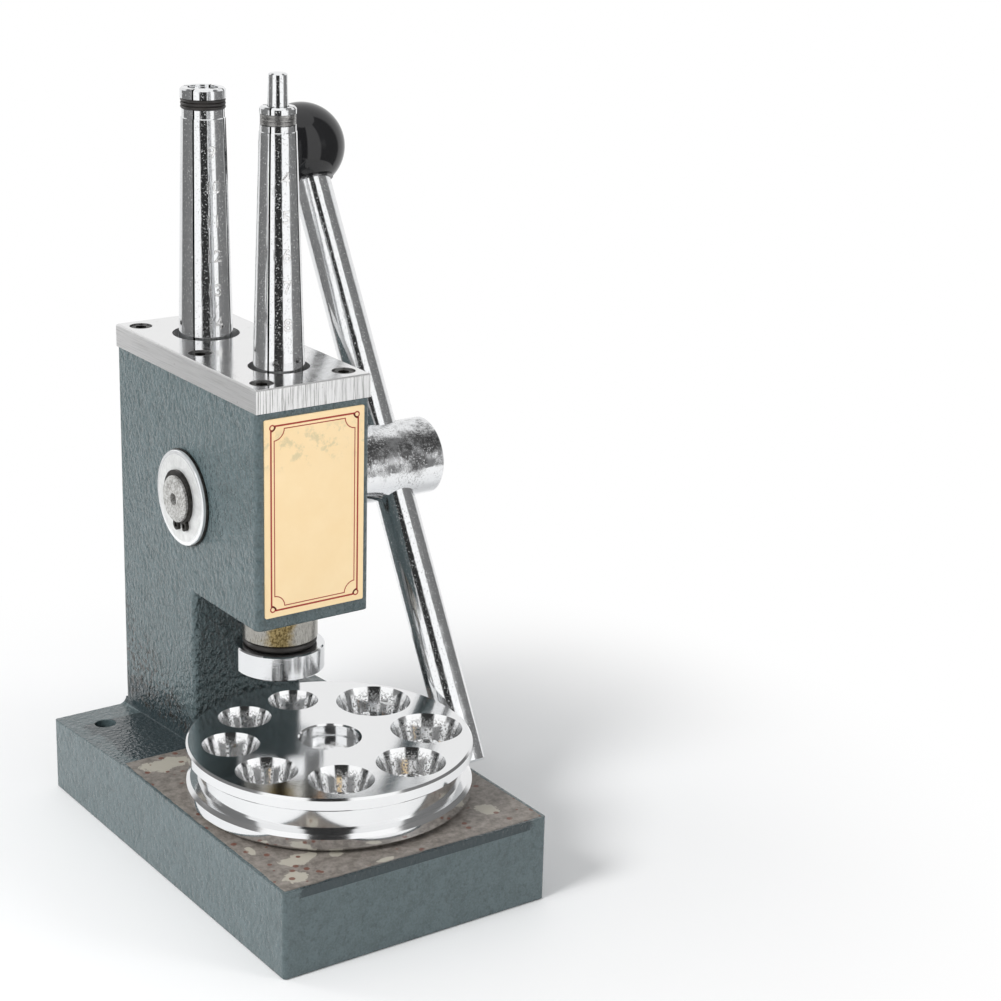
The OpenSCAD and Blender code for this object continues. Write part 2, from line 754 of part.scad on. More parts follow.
module ram_o_ring() {
    color("#1b1b1b") translate([0, front_axis_y, cap_z + cap_h + neck_h / 2])
        rotate_extrude() translate([neck_r + o_ring_r + press_gap, 0]) circle(o_ring_r);
}

// ---------------------------------------------------------------- yoke and spindles

module spindle_yoke() {
    yoke_y0 = front_axis_y - yoke_end;
    yoke_l = rear_axis_y - front_axis_y + 2 * yoke_end;
    window_y0 = rack_front_y - open_gap;
    window_y1 = rear_rack_y - tooth_m - open_gap;
    rack_hole_y = rack_rear_y - rack_body / 2;
    color("#8c9094") translate([0, 0, yoke_z]) difference() {
        translate([0, yoke_y0 + yoke_l / 2]) linear_extrude(yoke_h) soft_rect(yoke_w, yoke_l, yoke_corner_r);
        translate([-window_w / 2, window_y0, -eps]) cube([window_w, window_y1 - window_y0, yoke_h + 2 * eps]);
        for (y = [front_axis_y, rear_axis_y])
            translate([0, y, -eps]) cylinder(h = yoke_h + 2 * eps, r = shank_r + press_gap);
        // seat and screw of the rear rack
        translate([-rack_w / 2 - press_gap, window_y1 - eps, -eps])
            cube([rack_w + 2 * press_gap, rack_rear_y + press_gap - window_y1 + eps, rack_sink + eps]);
        translate([0, rack_hole_y, -eps]) cylinder(h = yoke_h + 2 * eps, r = yoke_screw_r + press_gap);
        translate([0, rack_hole_y, yoke_h - yoke_screw_sink])
            cylinder(h = yoke_screw_sink + eps, r = yoke_screw_head_r + 0.2);
        // grub screws that lock the spindles, in from the ends
        for (end = [0, 1]) translate([0, end == 0 ? yoke_y0 : yoke_y0 + yoke_l, yoke_h / 2])
            rotate([end == 0 ? -90 : 90, 0, 0]) translate([0, 0, -eps])
                cylinder(h = yoke_end + eps, r = shank_screw_r + press_gap);
    }
}

module yoke_rack() {
    rack_hole_y = rack_rear_y - rack_body / 2;
    color("#7c8084") difference() {
        translate([0, rear_rack_y, shaft_z]) along_x(rack_w) mirror([1, 0])
            rack_outline(yoke_rack_low_z - shaft_z, yoke_z + rack_sink - shaft_z, rack_body, true);
        translate([0, rack_hole_y, yoke_top_z - yoke_screw_sink - yoke_screw_l - 1])
            cylinder(h = yoke_screw_l + 1, r = yoke_screw_r + press_gap);
    }
}

module yoke_rack_screw() {
    rack_hole_y = rack_rear_y - rack_body / 2;
    color("#2f3133") translate([0, rack_hole_y, yoke_top_z - yoke_screw_sink])
        cap_screw(2 * yoke_screw_r, 2 * yoke_screw_head_r, 2 * yoke_screw_r, yoke_screw_l, 1.3);
}

// Radius of a spindle at a height
function wedge_r(tip_r0, tip_z, z) = tip_r0 + (tip_z - z) * wedge;

module spindle(y, tip_r0, tip_z) {
    foot_r = wedge_r(tip_r0, tip_z, yoke_top_z);
    cone_h = tip_z - yoke_top_z;
    translate([0, y, yoke_top_z]) rotate_extrude() polygon([
        [0, -yoke_h], [shank_r, -yoke_h], [shank_r, 0], [foot_r, 0],
        [tip_r0 + 0.5 * wedge, cone_h - 0.5], [tip_r0 - 0.5, cone_h], [0, cone_h]
    ]);
}

module front_spindle() {
    color("#c8cacb") spindle(front_axis_y, front_tip_r, front_tip_z);
}

module rear_spindle() {
    color("#c8cacb") spindle(rear_axis_y, rear_tip_r, rear_tip_z);
}

module spindle_grub_screws() {
    yoke_y0 = front_axis_y - yoke_end;
    yoke_y1 = rear_axis_y + yoke_end;
    screw_len = yoke_end - shank_r - press_gap - 0.6;
    color("#2f3133") {
        translate([0, yoke_y0 + 0.5, yoke_z + yoke_h / 2]) rotate([90, 0, 0])
            grub_screw(2 * shank_screw_r, screw_len, 1.1);
        translate([0, yoke_y1 - 0.5, yoke_z + yoke_h / 2]) rotate([-90, 0, 0])
            grub_screw(2 * shank_screw_r, screw_len, 1.1);
    }
}

// ---------------------------------------------------------------- split mandrels

// Heights of the top end, measured up from the taper's shoulder:
// neck, band groove, collar
front_end = [2.1, 6.2, 8.7];
rear_end = [3.1, 7.1, 10.9];
front_top_z = front_taper_z + front_end[2];
rear_top_z = rear_taper_z + rear_end[2];
front_tip_z = front_top_z + front_tip_out;
rear_tip_z = rear_top_z - rear_tip_in;
front_tip_r = front_top_r - front_wall;
rear_tip_r = rear_top_r - rear_wall;
front_neck_r = front_top_r - 0.25;
rear_neck_r = rear_top_r - 0.4;
front_collar_r = front_top_r - 0.15;
rear_collar_r = rear_top_r + 0.2;
front_groove_r = front_top_r - 2.35;
rear_groove_r = rear_top_r - 1.9;
front_band_r = front_top_r - 0.4;
rear_band_r = rear_top_r + 0.05;
mouth_room = 0.55;       // around the spindle, in the top of the collar
band_turns = 3;

module segment_profile(root_r0, top_r, taper_z, heights, neck, groove, collar, hole_r) {
    foot_r = hole_r + foot_lip;
    slope = (root_r0 - top_r) / (taper_z - plate_z);
    body_r = root_r0 + slope * (plate_z - foot_z - foot_t);
    polygon([
        [0, foot_z], [foot_r, foot_z], [foot_r, foot_z + foot_t], [body_r, foot_z + foot_t],
        [top_r, taper_z - 0.3], [top_r - 0.3, taper_z], [neck, taper_z], [neck, taper_z + heights[0]],
        [groove, taper_z + heights[0]], [groove, taper_z + heights[1]], [collar, taper_z + heights[1]],
        [collar, taper_z + heights[2] - collar_bevel], [collar - collar_bevel, taper_z + heights[2]],
        [0, taper_z + heights[2]]
    ]);
}

// One of the four quarters: number 1 faces +X before the turn, the others follow anticlockwise
module quarter(number, y, tip_r0, tip_z, mouth_r, top_z) {
    edge = slit_w / 2;
    far = 40;
    difference() {
        intersection() {
            translate([0, y, 0]) rotate_extrude() children();
            translate([0, y, foot_z - 1]) rotate(slit_turn + 90 * (number - 1)) linear_extrude(top_z - foot_z + 2)
                polygon([[edge * sqrt(2), 0], [far, far - edge * sqrt(2)], [far, -far + edge * sqrt(2)]]);
        }
        // cone for the spindle
        translate([0, y, foot_z - 2]) cylinder(
            h = top_z - foot_z + 4,
            r1 = wedge_r(tip_r0, tip_z, foot_z - 2) + wedge_gap,
            r2 = wedge_r(tip_r0, tip_z, top_z + 2) + wedge_gap
        );
        translate([0, y, top_z - 0.8]) cylinder(h = 2, r = mouth_r);
    }
}

module front_segment(number) {
    color("#c8cacb") quarter(
        number, front_axis_y, front_tip_r, front_tip_z, front_tip_r + mouth_room, front_top_z
    ) segment_profile(
        front_root_r, front_top_r, front_taper_z, front_end, front_neck_r, front_groove_r,
        front_collar_r, front_hole_r
    );
}

module rear_segment(number) {
    color("#c8cacb") quarter(
        number, rear_axis_y, rear_tip_r, rear_tip_z, rear_tip_r + mouth_room, rear_top_z
    ) segment_profile(
        rear_root_r, rear_top_r, rear_taper_z, rear_end, rear_neck_r, rear_groove_r,
        rear_collar_r, rear_hole_r
    );
}

// Turns side by side in the groove, joined into one band
module band(y, z0, z1, groove, out_r) {
    turn_r = (z1 - z0 - 2 * run_gap) / (2 * band_turns);
    middle_r = out_r - turn_r;
    translate([0, y, z0 + run_gap]) rotate_extrude() {
        for (i = [0:band_turns - 1]) translate([middle_r, (2 * i + 1) * turn_r]) circle(turn_r);
        translate([groove + spring_room, turn_r])
            square([middle_r - groove - spring_room, 2 * (band_turns - 1) * turn_r]);
    }
}

module front_segment_band() {
    color("#6d7173") band(
        front_axis_y, front_taper_z + front_end[0], front_taper_z + front_end[1], front_groove_r, front_band_r
    );
}

module rear_segment_band() {
    color("#1c1b1b") band(
        rear_axis_y, rear_taper_z + rear_end[0], rear_taper_z + rear_end[1], rear_groove_r, rear_band_r
    );
}

module guide_ring(y, tip_r0, tip_z) {
    hole = wedge_r(tip_r0, tip_z + down_travel, ring_z) + 0.4;
    translate([0, y, ring_z]) ring(ring_out_r, hole, ring_t, 0.3);
}

module front_guide_ring() {
    color("#8c9094") guide_ring(front_axis_y, front_tip_r, front_tip_z);
}

module rear_guide_ring() {
    color("#8c9094") guide_ring(rear_axis_y, rear_tip_r, rear_tip_z);
}

// ---------------------------------------------------------------- die plate

function sum(list, i = 0) = i == len(list) ? 0 : list[i] + sum(list, i + 1);
function die_mouth(i) = die_mouth_min + (die_mouth_max - die_mouth_min) * pow(i / (die_count - 1), 1.15);
function die_step(i) = 2 * asin(((die_mouth(i) + die_mouth(i + 1)) / 2 + die_land) / (2 * die_pitch_r));
function die_angle(i) = i == 0 ? first_die_angle : die_angle(i - 1) + die_step(i - 1);

module die_cone(mouth) {
    bottom = mouth / 2 - die_depth * tan(die_taper);
    rotate_extrude() polygon([[0, -die_depth], [bottom, -die_depth], [mouth / 2, 0], [mouth / 2, 1], [0, 1]]);
}

module die_plate() {
    r = die_d / 2;
    bore_r = pin_d / 2 + pin_gap;
    color("#c9cccd") translate([0, die_axis_y, die_z]) difference() {
        rotate_extrude() polygon([
            [bore_r, 0], [r - 1.2, 0], [r, 1.2], [r, foot_rim_h], [r - groove_slope, foot_rim_h + groove_slope],
            [r - groove_depth, foot_rim_h + groove_slope + 0.4], [r - groove_depth, die_t - rim_h - 0.6],
            [r - 0.6, die_t - rim_h], [r, die_t - rim_h + 0.6], [r, die_t - rim_chamfer],
            [r - rim_chamfer, die_t], [bore_r + 0.6, die_t], [bore_r, die_t - 0.6]
        ]);
        for (i = [0:die_count - 1]) rotate(die_angle(i)) translate([die_pitch_r, 0, die_t])
            die_cone(die_mouth(i));
    }
}

module centre_pin() {
    pin_top = die_z + die_t - pin_recess;
    color("#9a938a") translate([0, die_axis_y, 0]) {
        translate([0, 0, bed_z - pin_depth + 0.5]) cylinder(h = pin_depth, r = pin_shank_r);
        translate([0, 0, bed_z]) cylinder(h = pin_flange_t, r = pin_flange_r);
        translate([0, 0, bed_z]) rotate_extrude() polygon([
            [0, 0], [pin_d / 2, 0], [pin_d / 2, pin_top - bed_z - 0.8],
            [pin_d / 2 - 0.8, pin_top - bed_z], [0, pin_top - bed_z]
        ]);
    }
}

// ---------------------------------------------------------------- nodes

frame_casting();
top_plate();
plate_screws();
name_plate();
crank_shaft();
left_shaft_bush();
right_shaft_bush();
side_washer();
side_shim();
left_circlip();
right_circlip();
lever_bar();
ball_knob();
lever_grub_screw();
ram_stem();
ram_rack();
ram_rack_screws();
ram_guide_bush();
ram_cap();
ram_o_ring();
spindle_yoke();
yoke_rack();
yoke_rack_screw();
front_spindle();
rear_spindle();
spindle_grub_screws();
front_guide_ring();
rear_guide_ring();
front_segment(1);  // front_segment_1
front_segment(2);  // front_segment_2
front_segment(3);  // front_segment_3
front_segment(4);  // front_segment_4
rear_segment(1);  // rear_segment_1
rear_segment(2);  // rear_segment_2
rear_segment(3);  // rear_segment_3
rear_segment(4);  // rear_segment_4
front_segment_band();
rear_segment_band();
die_plate();
centre_pin();
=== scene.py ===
# %% [markdown]
# # A bench ring stretcher, dressed for its portrait
# The CAD model already has every piece at its real size. This script gives each visible piece its
# finish: hammered enamel on the casting, ground and polished steel above it, a bare iron bed below.
# Everything is in metres, in the CAD model's own frame, so a piece is placed by the machine's sizes.

# %% Load the frame
import json
import math

import bmesh
import bpy
from mathutils import Matrix, Vector


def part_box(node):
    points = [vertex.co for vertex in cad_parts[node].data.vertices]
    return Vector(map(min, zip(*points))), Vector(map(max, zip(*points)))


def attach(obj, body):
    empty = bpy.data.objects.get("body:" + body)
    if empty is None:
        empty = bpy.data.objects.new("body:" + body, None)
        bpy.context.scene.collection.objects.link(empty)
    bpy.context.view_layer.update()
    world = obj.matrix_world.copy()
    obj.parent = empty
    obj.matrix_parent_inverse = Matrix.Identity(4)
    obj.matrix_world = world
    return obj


MM = 0.001
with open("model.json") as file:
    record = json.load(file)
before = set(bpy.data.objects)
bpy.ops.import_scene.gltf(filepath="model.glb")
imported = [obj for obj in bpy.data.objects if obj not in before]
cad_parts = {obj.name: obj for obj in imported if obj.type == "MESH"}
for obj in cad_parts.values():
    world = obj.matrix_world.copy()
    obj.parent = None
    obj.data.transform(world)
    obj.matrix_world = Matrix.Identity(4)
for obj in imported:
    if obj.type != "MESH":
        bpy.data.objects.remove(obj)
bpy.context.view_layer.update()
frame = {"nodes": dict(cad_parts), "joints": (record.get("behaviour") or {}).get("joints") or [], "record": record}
scene = bpy.context.scene
print("CAD nodes:", len(frame["nodes"]))

# %% [markdown]
# ## Where things are
# A finish often has to know where a face is: the bed is bare, the column is painted. Most places
# come from the nodes' own boxes and from the joints, so they follow the model when it changes.


# %% Places on the machine
def middle(node):
    """The middle of a node's box."""
    low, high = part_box(node)
    return (low + high) / 2


joint = {j["name"]: j for j in frame["joints"]}
shaft = Vector(joint["crank_turn"]["pos_m"])
die_axis = Vector(joint["die_plate_turn"]["pos_m"])
front_axis = middle("front_spindle")
rear_axis = middle("rear_spindle")
casting_low, casting_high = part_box("frame_casting")
plate_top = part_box("top_plate")[1].z
die_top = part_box("die_plate")[1].z
# Places inside the casting's box: the bed, the column's front, and the fillet at the column's foot
bed_z = 33.5 * MM
column_front_y = 31 * MM
foot_z = 36 * MM
print("shaft", shaft[:], "front mandrel y", round(front_axis.y, 4), "rear", round(rear_axis.y, 4))

# %% [markdown]
# ## The camera
# The machine was photographed from the front left, a little above its middle, with a long lens.
# The camera's directions are given as they are: right and up. The third, back towards the eye,
# stands square to both.

# %% Camera
camera_place = Vector((-0.4112, -0.70778, 0.41489))
camera_right = Vector((0.81711, -0.57584, 0.02717))
camera_up = Vector((0.16178, 0.2743, 0.94794))
camera_lens = 82.85
camera_sensor = 36


def make_camera():
    """Makes the camera, its axes square to each other."""
    right = camera_right.normalized()
    back = right.cross(camera_up).normalized()
    up = back.cross(right)
    data = bpy.data.cameras.new("Camera")
    data.lens = camera_lens
    data.sensor_width = camera_sensor
    camera = bpy.data.objects.new("Camera", data)
    scene.collection.objects.link(camera)
    turn = Matrix((right, up, back)).transposed()
    camera.matrix_world = Matrix.Translation(camera_place) @ turn.to_4x4()
    scene.camera = camera


make_camera()
scene.view_settings.view_transform = "Standard"
print("camera", round(camera_place.length, 3), "m from the middle of the base")

# %% [markdown]
# ## Materials from nodes
# A material is a small network of nodes. A node's input takes either a number or another node's
# output, and one helper does both. With a word for each kind of arithmetic, a mask by place then
# reads almost like a sentence. A mask is 1 where something is and 0 where it isn't.


# %% Nodes and arithmetic
class Nodes:
    """A tree of nodes, and short ways to add to it."""

    def __init__(self, tree):
        self.tree = tree
        tree.nodes.clear()

    def add(self, kind, inputs=None, **settings):
        """Adds a node. inputs maps a socket's name or number to a value or an output."""
        node = self.tree.nodes.new(kind)
        for key, value in settings.items():
            setattr(node, key, value)
        for key, value in (inputs or {}).items():
            self.feed(node.inputs[key], value)
        return node

    def feed(self, socket, value):
        """Links an output to a socket, or sets the socket's own value."""
        if isinstance(value, bpy.types.NodeSocket):
            self.tree.links.new(value, socket)
        elif socket.type == "RGBA" and len(value) == 3:
            socket.default_value = (*value, 1.0)
        else:
            socket.default_value = value

    def output(self, kind, inputs=None, **settings):
        """Adds a node and gives its first output."""
        return self.add(kind, inputs, **settings).outputs[0]

    def math(self, operation, *values):
        return self.output("ShaderNodeMath", dict(enumerate(values)), operation=operation)

    def plus(self, a, b):
        return self.math("ADD", a, b)

    def minus(self, a, b):
        return self.math("SUBTRACT", a, b)

    def times(self, first, *others):
        product = first
        for factor in others:
            product = self.math("MULTIPLY", product, factor)
        return product

    def over(self, a, b):
        return self.math("DIVIDE", a, b)

    def size(self, a):
        """A value without its sign."""
        return self.math("ABSOLUTE", a)

    def length(self, a, b):
        """The length of a vector with these two parts."""
        return self.math("SQRT", self.plus(self.times(a, a), self.times(b, b)))

    def most(self, a, b):
        return self.math("MAXIMUM", a, b)

    def below(self, value, limit):
        """1 where the value is below the limit."""
        return self.math("LESS_THAN", value, limit)

    def above(self, value, limit):
        """1 where the value is above the limit."""
        return self.math("GREATER_THAN", value, limit)

    def within(self, value, low, high):
        """1 between two limits."""
        return self.times(self.above(value, low), self.below(value, high))

    def ramp(self, value, low, high, to_low=0.0, to_high=1.0):
        """Maps a value from one range to another, clamped, with soft ends."""
        inputs = {0: value, 1: low, 2: high, 3: to_low, 4: to_high}
        return self.output("ShaderNodeMapRange", inputs, interpolation_type="SMOOTHSTEP")

    def mix(self, mask, off, on, kind="RGBA"):
        """off where the mask is 0 and on where it is 1: two colours, or what kind says."""
        # a Mix node has its own sockets for each kind: the first of two inputs, and the output
        first, result = {"FLOAT": (2, 0), "VECTOR": (4, 1), "RGBA": (6, 2)}[kind]
        inputs = {0: mask, first: off, first + 1: on}
        return self.add("ShaderNodeMix", inputs, data_type=kind).outputs[result]

    def pick(self, mask, off, on):
        """The same for two numbers."""
        return self.mix(mask, off, on, "FLOAT")


print("a word for each sum:", [name for name in vars(Nodes) if not name.startswith("_")])

# %% [markdown]
# A finish is a material with its own coordinates: the place of a point on the machine and the
# direction that the surface faces there. Noise, rings and lines are all worked out from these, so
# their sizes are real ones.


# %% Finishes and colours
class Finish(Nodes):
    """A new material and the recipes that this script uses."""

    def __init__(self, name):
        self.material = bpy.data.materials.new(name)
        self.material.use_nodes = True
        super().__init__(self.material.node_tree)
        where = self.add("ShaderNodeTexCoord")
        self.place = where.outputs["Object"]
        self.facing = where.outputs["Normal"]

    def scaled(self, x, y, z, turn=(0, 0, 0), shift=(0, 0, 0)):
        """The place on the machine, moved, turned and scaled."""
        inputs = {"Vector": self.place, "Location": shift, "Rotation": turn, "Scale": (x, y, z)}
        return self.output("ShaderNodeMapping", inputs)

    def axes(self, vector):
        """The X, Y and Z parts of a vector."""
        return self.add("ShaderNodeSeparateXYZ", {0: vector}).outputs[:]

    def round(self, centre, along="Z"):
        """Distance from a turned piece's axis, angle around it, and place along it."""
        x, y, z = self.axes(self.scaled(1, 1, 1, shift=(-Vector(centre))[:]))
        a, b, c = {"Z": (x, y, z), "X": (y, z, x)}[along]
        return self.length(a, b), self.math("ARCTAN2", b, a), c

    def noise(self, scale, detail=3.0, roughness=0.55, at=None, distortion=0.0):
        inputs = {
            "Vector": at or self.place,
            "Scale": scale,
            "Detail": detail,
            "Roughness": roughness,
            "Distortion": distortion,
        }
        return self.add("ShaderNodeTexNoise", inputs).outputs["Fac"]

    def lines(self, value, pitch, detail=3.0):
        """Fine parallel lines, as a tool or a belt leaves them, a pitch apart."""
        inputs = {"W": value, "Scale": 1 / pitch, "Detail": detail}
        return self.add("ShaderNodeTexNoise", inputs, noise_dimensions="1D").outputs["Fac"]

    def nicks(self, scale, share=0.66):
        """Small scratches and pits. A higher share leaves fewer of them."""
        return self.ramp(self.noise(scale, 5, 0.75), share, share + 0.05)

    def bump(self, height, distance, strength=1.0, under=None):
        inputs = {"Height": height, "Distance": distance, "Strength": strength}
        if under is not None:
            inputs["Normal"] = under
        return self.output("ShaderNodeBump", inputs)

    def principled(self, **inputs):
        """The principled shader, with underscores in place of the spaces in its sockets' names."""
        named = {key.replace("_", " "): value for key, value in inputs.items()}
        return self.output("ShaderNodeBsdfPrincipled", named)

    def show(self, shader):
        """Ends the material with this shader, and gives the material."""
        self.add("ShaderNodeOutputMaterial", {0: shader})
        return self.material

    def surface(self, **inputs):
        return self.show(self.principled(**inputs))


def srgb(r, g, b):
    """A colour read from a swatch, 0 to 255, as the linear values that a shader takes."""
    def linear(c):
        c /= 255
        return c / 12.92 if c <= 0.04045 else ((c + 0.055) / 1.055) ** 2.4

    return (linear(r), linear(g), linear(b))


print("middle grey is", round(srgb(128, 128, 128)[0], 3), "in linear light")

# %% [markdown]
# ## The studio
# The sky and the floor are plain white to the eye, and softer as light, so that the enamel keeps
# its depth. The floor fades into the same white a short way from the machine.

# %% Sky and floor
white = (1, 1, 1)
sky_tint = (0.97, 0.985, 1.0)
sky_strength = 0.52
fade_start, fade_end = 0.12, 0.3
floor_radius = 6
floor_drop = 0.4 * MM


def seen(nodes):
    """1 for the rays that make the picture, straight or by a mirror, and 0 for those that light it."""
    rays = nodes.add("ShaderNodeLightPath").outputs
    seen_or_mirrored = nodes.most(rays["Is Camera Ray"], rays["Is Glossy Ray"])
    return nodes.most(seen_or_mirrored, rays["Is Transmission Ray"])


def new_object(name, shape, material):
    """An object made of a bmesh."""
    mesh = bpy.data.meshes.new(name)
    shape.to_mesh(mesh)
    shape.free()
    mesh.materials.append(material)
    made = bpy.data.objects.new(name, mesh)
    scene.collection.objects.link(made)
    return made


def make_world():
    world = bpy.data.worlds.new("Sky")
    scene.world = world
    world.use_nodes = True
    nodes = Nodes(world.node_tree)
    light = nodes.output("ShaderNodeBackground", {0: sky_tint, 1: sky_strength})
    plain = nodes.output("ShaderNodeBackground", {0: white, 1: 1.0})
    both = nodes.output("ShaderNodeMixShader", {0: seen(nodes), 1: light, 2: plain})
    nodes.add("ShaderNodeOutputWorld", {0: both})


def make_floor():
    finish = Finish("Pale_floor")
    paper = finish.principled(Base_Color=(0.95, 0.95, 0.95), Roughness=0.6, Specular_IOR_Level=0.2)
    distance, _, _ = finish.round((0, 0, 0))
    far = finish.times(finish.ramp(distance, fade_start, fade_end), seen(finish))
    glow = finish.output("ShaderNodeEmission", {0: white, 1: 1.0})
    material = finish.show(finish.output("ShaderNodeMixShader", {0: far, 1: paper, 2: glow}))
    shape = bmesh.new()
    bmesh.ops.create_circle(shape, cap_ends=True, radius=floor_radius, segments=64)
    floor = new_object("Floor", shape, material)
    floor.location.z = -floor_drop


make_world()
make_floor()
print("the floor is white from", fade_end, "m on")

# %% [markdown]
# Three soft lamps stand to the left, in front and behind. The key lamp isn't mirrored in the metal.

# %% Lamps
lamp_aim = Vector((0, 0, 0.1))


def soft_lamp(name, place, size, power, mirrored):
    """A round lamp that looks at the machine."""
    data = bpy.data.lights.new(name, "AREA")
    data.shape = "DISK"
    data.size = size
    data.energy = power
    lamp = bpy.data.objects.new(name, data)
    lamp.location = place
    lamp.rotation_euler = (lamp_aim - Vector(place)).to_track_quat("-Z", "Y").to_euler()
    lamp.visible_glossy = mirrored
    scene.collection.objects.link(lamp)
    print(name, power, "W")


soft_lamp("Key", (-1.3, -0.2, 1.1), size=0.6, power=19, mirrored=False)
soft_lamp("Fill", (0.85, -1.3, 0.5), size=0.5, power=6, mirrored=True)
soft_lamp("Back", (-0.95, 1.2, 0.45), size=0.5, power=6, mirrored=True)

# %% [markdown]
# ## A wall for the reflections
# Polished metal has no look of its own: it shows the room. A product photographer stands white
# boards beside the camera and leaves darkness between them, and so a polished bar gets its
# bright and dark stripes. Here a round wall does that. Only reflections see it, and its brightness
# changes with the direction.

# %% Reflection wall
wall_radius = 0.43
wall_height = 1.1
wall_strength = 1.1
# Brightness of the wall by the angle from the camera, in shares of half a turn
wall_tones = [
    (0.0, 0.03), (0.105, 0.03), (0.125, 1.0), (0.35, 1.0),
    (0.375, 0.2), (0.68, 0.16), (0.72, 0.8), (1.0, 0.85),
]


def make_wall():
    """A round screen that only reflections see, dark at the camera, with a bright board on each side."""
    finish = Finish("Screen")
    camera_angle = math.atan2(camera_place.y, camera_place.x)
    x, y, _ = finish.axes(finish.scaled(1, 1, 1, turn=(0, 0, -camera_angle)))
    share = finish.over(finish.size(finish.math("ARCTAN2", y, x)), math.pi)
    ramp = finish.add("ShaderNodeValToRGB", {0: share})
    stops = ramp.color_ramp.elements
    for i, (place, tone) in enumerate(wall_tones):
        stop = stops[i] if i < 2 else stops.new(place)
        stop.position = place
        stop.color = (tone, tone, tone, 1)
    glow = finish.output("ShaderNodeEmission", {0: ramp.outputs[0], 1: wall_strength})
    shape = bmesh.new()
    bmesh.ops.create_cone(
        shape, segments=128, radius1=wall_radius, radius2=wall_radius, depth=wall_height
    )
    bmesh.ops.translate(shape, verts=shape.verts, vec=(0, 0, wall_height / 2))
    wall = new_object("Screen", shape, finish.show(glow))
    wall.visible_camera = False
    wall.visible_diffuse = False
    wall.visible_shadow = False
    wall.visible_transmission = False


make_wall()
print("wall with", len(wall_tones), "tones")

# %% [markdown]
# ## The bare bed
# The bed in front of the column was left bare. It has a fine grain, dried stains, specks of rust
# and a dark, worn rim. A mask by place finds it on the casting: it is the only face that looks up
# at the bed's height in front of the column.

# %% Bare bed
# Dried stains: place in X and Y, and half sizes, in millimetres
bed_stains = [
    (-38.5, -73.0, 7.0, 3.6), (-46.5, -84.0, 4.0, 4.0), (40.5, -76.0, 4.2, 4.2), (-25.2, -75.6, 2.4, 2.2),
    (-42.0, 22.0, 9.0, 5.0), (-12.6, -89.5, 3.0, 1.4), (-50.0, -58.0, 1.4, 3.0), (30.0, -60.0, 2.0, 1.6),
]
stain_raggedness = 2.6 * MM
paint_lap = 0.4 * MM
lap_wander = 1.5 * MM
bed_step = 0.3 * MM
# The worn rim, as a distance from the middle towards the side
rim_start, rim_end = 54.6 * MM, 55.3 * MM


def bed_mask(finish):
    """1 on the bare bed, with a wandering edge of paint around it."""
    x, y, z = finish.axes(finish.place)
    wander = finish.times(finish.noise(190, 4), lap_wander)
    inside = finish.below(finish.plus(finish.size(x), wander), casting_high.x - paint_lap)
    front = finish.above(finish.minus(y, wander), casting_low.y + paint_lap)
    back = finish.below(y, column_front_y)
    level = finish.within(z, bed_z - bed_step, bed_z + bed_step)
    up = finish.above(finish.axes(finish.facing)[2], 0.7)
    return finish.times(inside, front, back, level, up)


def stain_mask(finish, x, y):
    """1 inside any of the stains, with ragged edges."""
    outside = None
    for stain_x, stain_y, half_x, half_y in bed_stains:
        # shrunk by its half sizes, every stain becomes a circle of 1 mm
        u = finish.over(finish.minus(x, stain_x * MM), half_x)
        v = finish.over(finish.minus(y, stain_y * MM), half_y)
        beyond = finish.minus(finish.length(u, v), 1 * MM)
        outside = beyond if outside is None else finish.math("MINIMUM", outside, beyond)
    ragged = finish.times(finish.minus(finish.noise(150, 5, 0.7), 0.5), stain_raggedness)
    return finish.below(finish.plus(outside, ragged), 0.0)


def stained_iron(finish):
    """The bed's colour and its grain."""
    x, y, _ = finish.axes(finish.place)
    grain = finish.noise(300, 6, 0.72)
    iron = finish.mix(finish.ramp(grain, 0.3, 0.7), srgb(100, 94, 88), srgb(146, 139, 132))
    iron = finish.mix(finish.times(stain_mask(finish, x, y), 0.85), iron, srgb(182, 177, 164))
    cells = finish.output("ShaderNodeTexVoronoi", {"Scale": 190, "Vector": finish.place})
    rust = finish.times(finish.below(cells, 0.22), finish.ramp(finish.noise(70, 2), 0.44, 0.5))
    iron = finish.mix(finish.times(rust, 0.85), iron, srgb(104, 56, 40))
    # the distance towards the side or the front, whichever is nearer to its edge
    outward = finish.most(finish.size(x), finish.times(y, casting_high.x / casting_low.y))
    rim = finish.ramp(outward, rim_start, rim_end)
    return finish.mix(finish.times(rim, 0.7), iron, srgb(58, 54, 50)), grain


print("stains on the bed:", len(bed_stains))

# %% [markdown]
# ## Hammered enamel
# The casting was sprayed with a grey-green enamel that shrinks into small pits and wrinkles as it
# dries. It lies thickest low on the column, most of all on the column's front, and pooled smooth
# around its foot, where the paint is darkened as painted shade and painted dark reflection. The
# wrinkles' valleys are darkened as painted shade. Dirt sits in the wrinkles low at the back. Paint
# and bare bed are one material on the CAD node, and the bed's mask picks which of the two is seen.

# %% Fresh and aged paint, with painted shade
# The base's sides, up to this height, have only thin wrinkles
base_side_z = 30 * MM
# Each pair says where a look begins and where it is full: the thick wrinkles, the painted shade at
# the column's foot by its height and by its distance from the middle, and the dirt, whose limit
# rises towards the back
thick_fade = (120 * MM, 60 * MM)
foot_shade_fade = (50 * MM, 40 * MM)
foot_shade_reach = (51 * MM, 48 * MM)
foot_shade_wander = 16 * MM
dirt_fade = (46 * MM, 34 * MM)
dirt_slope = 0.6


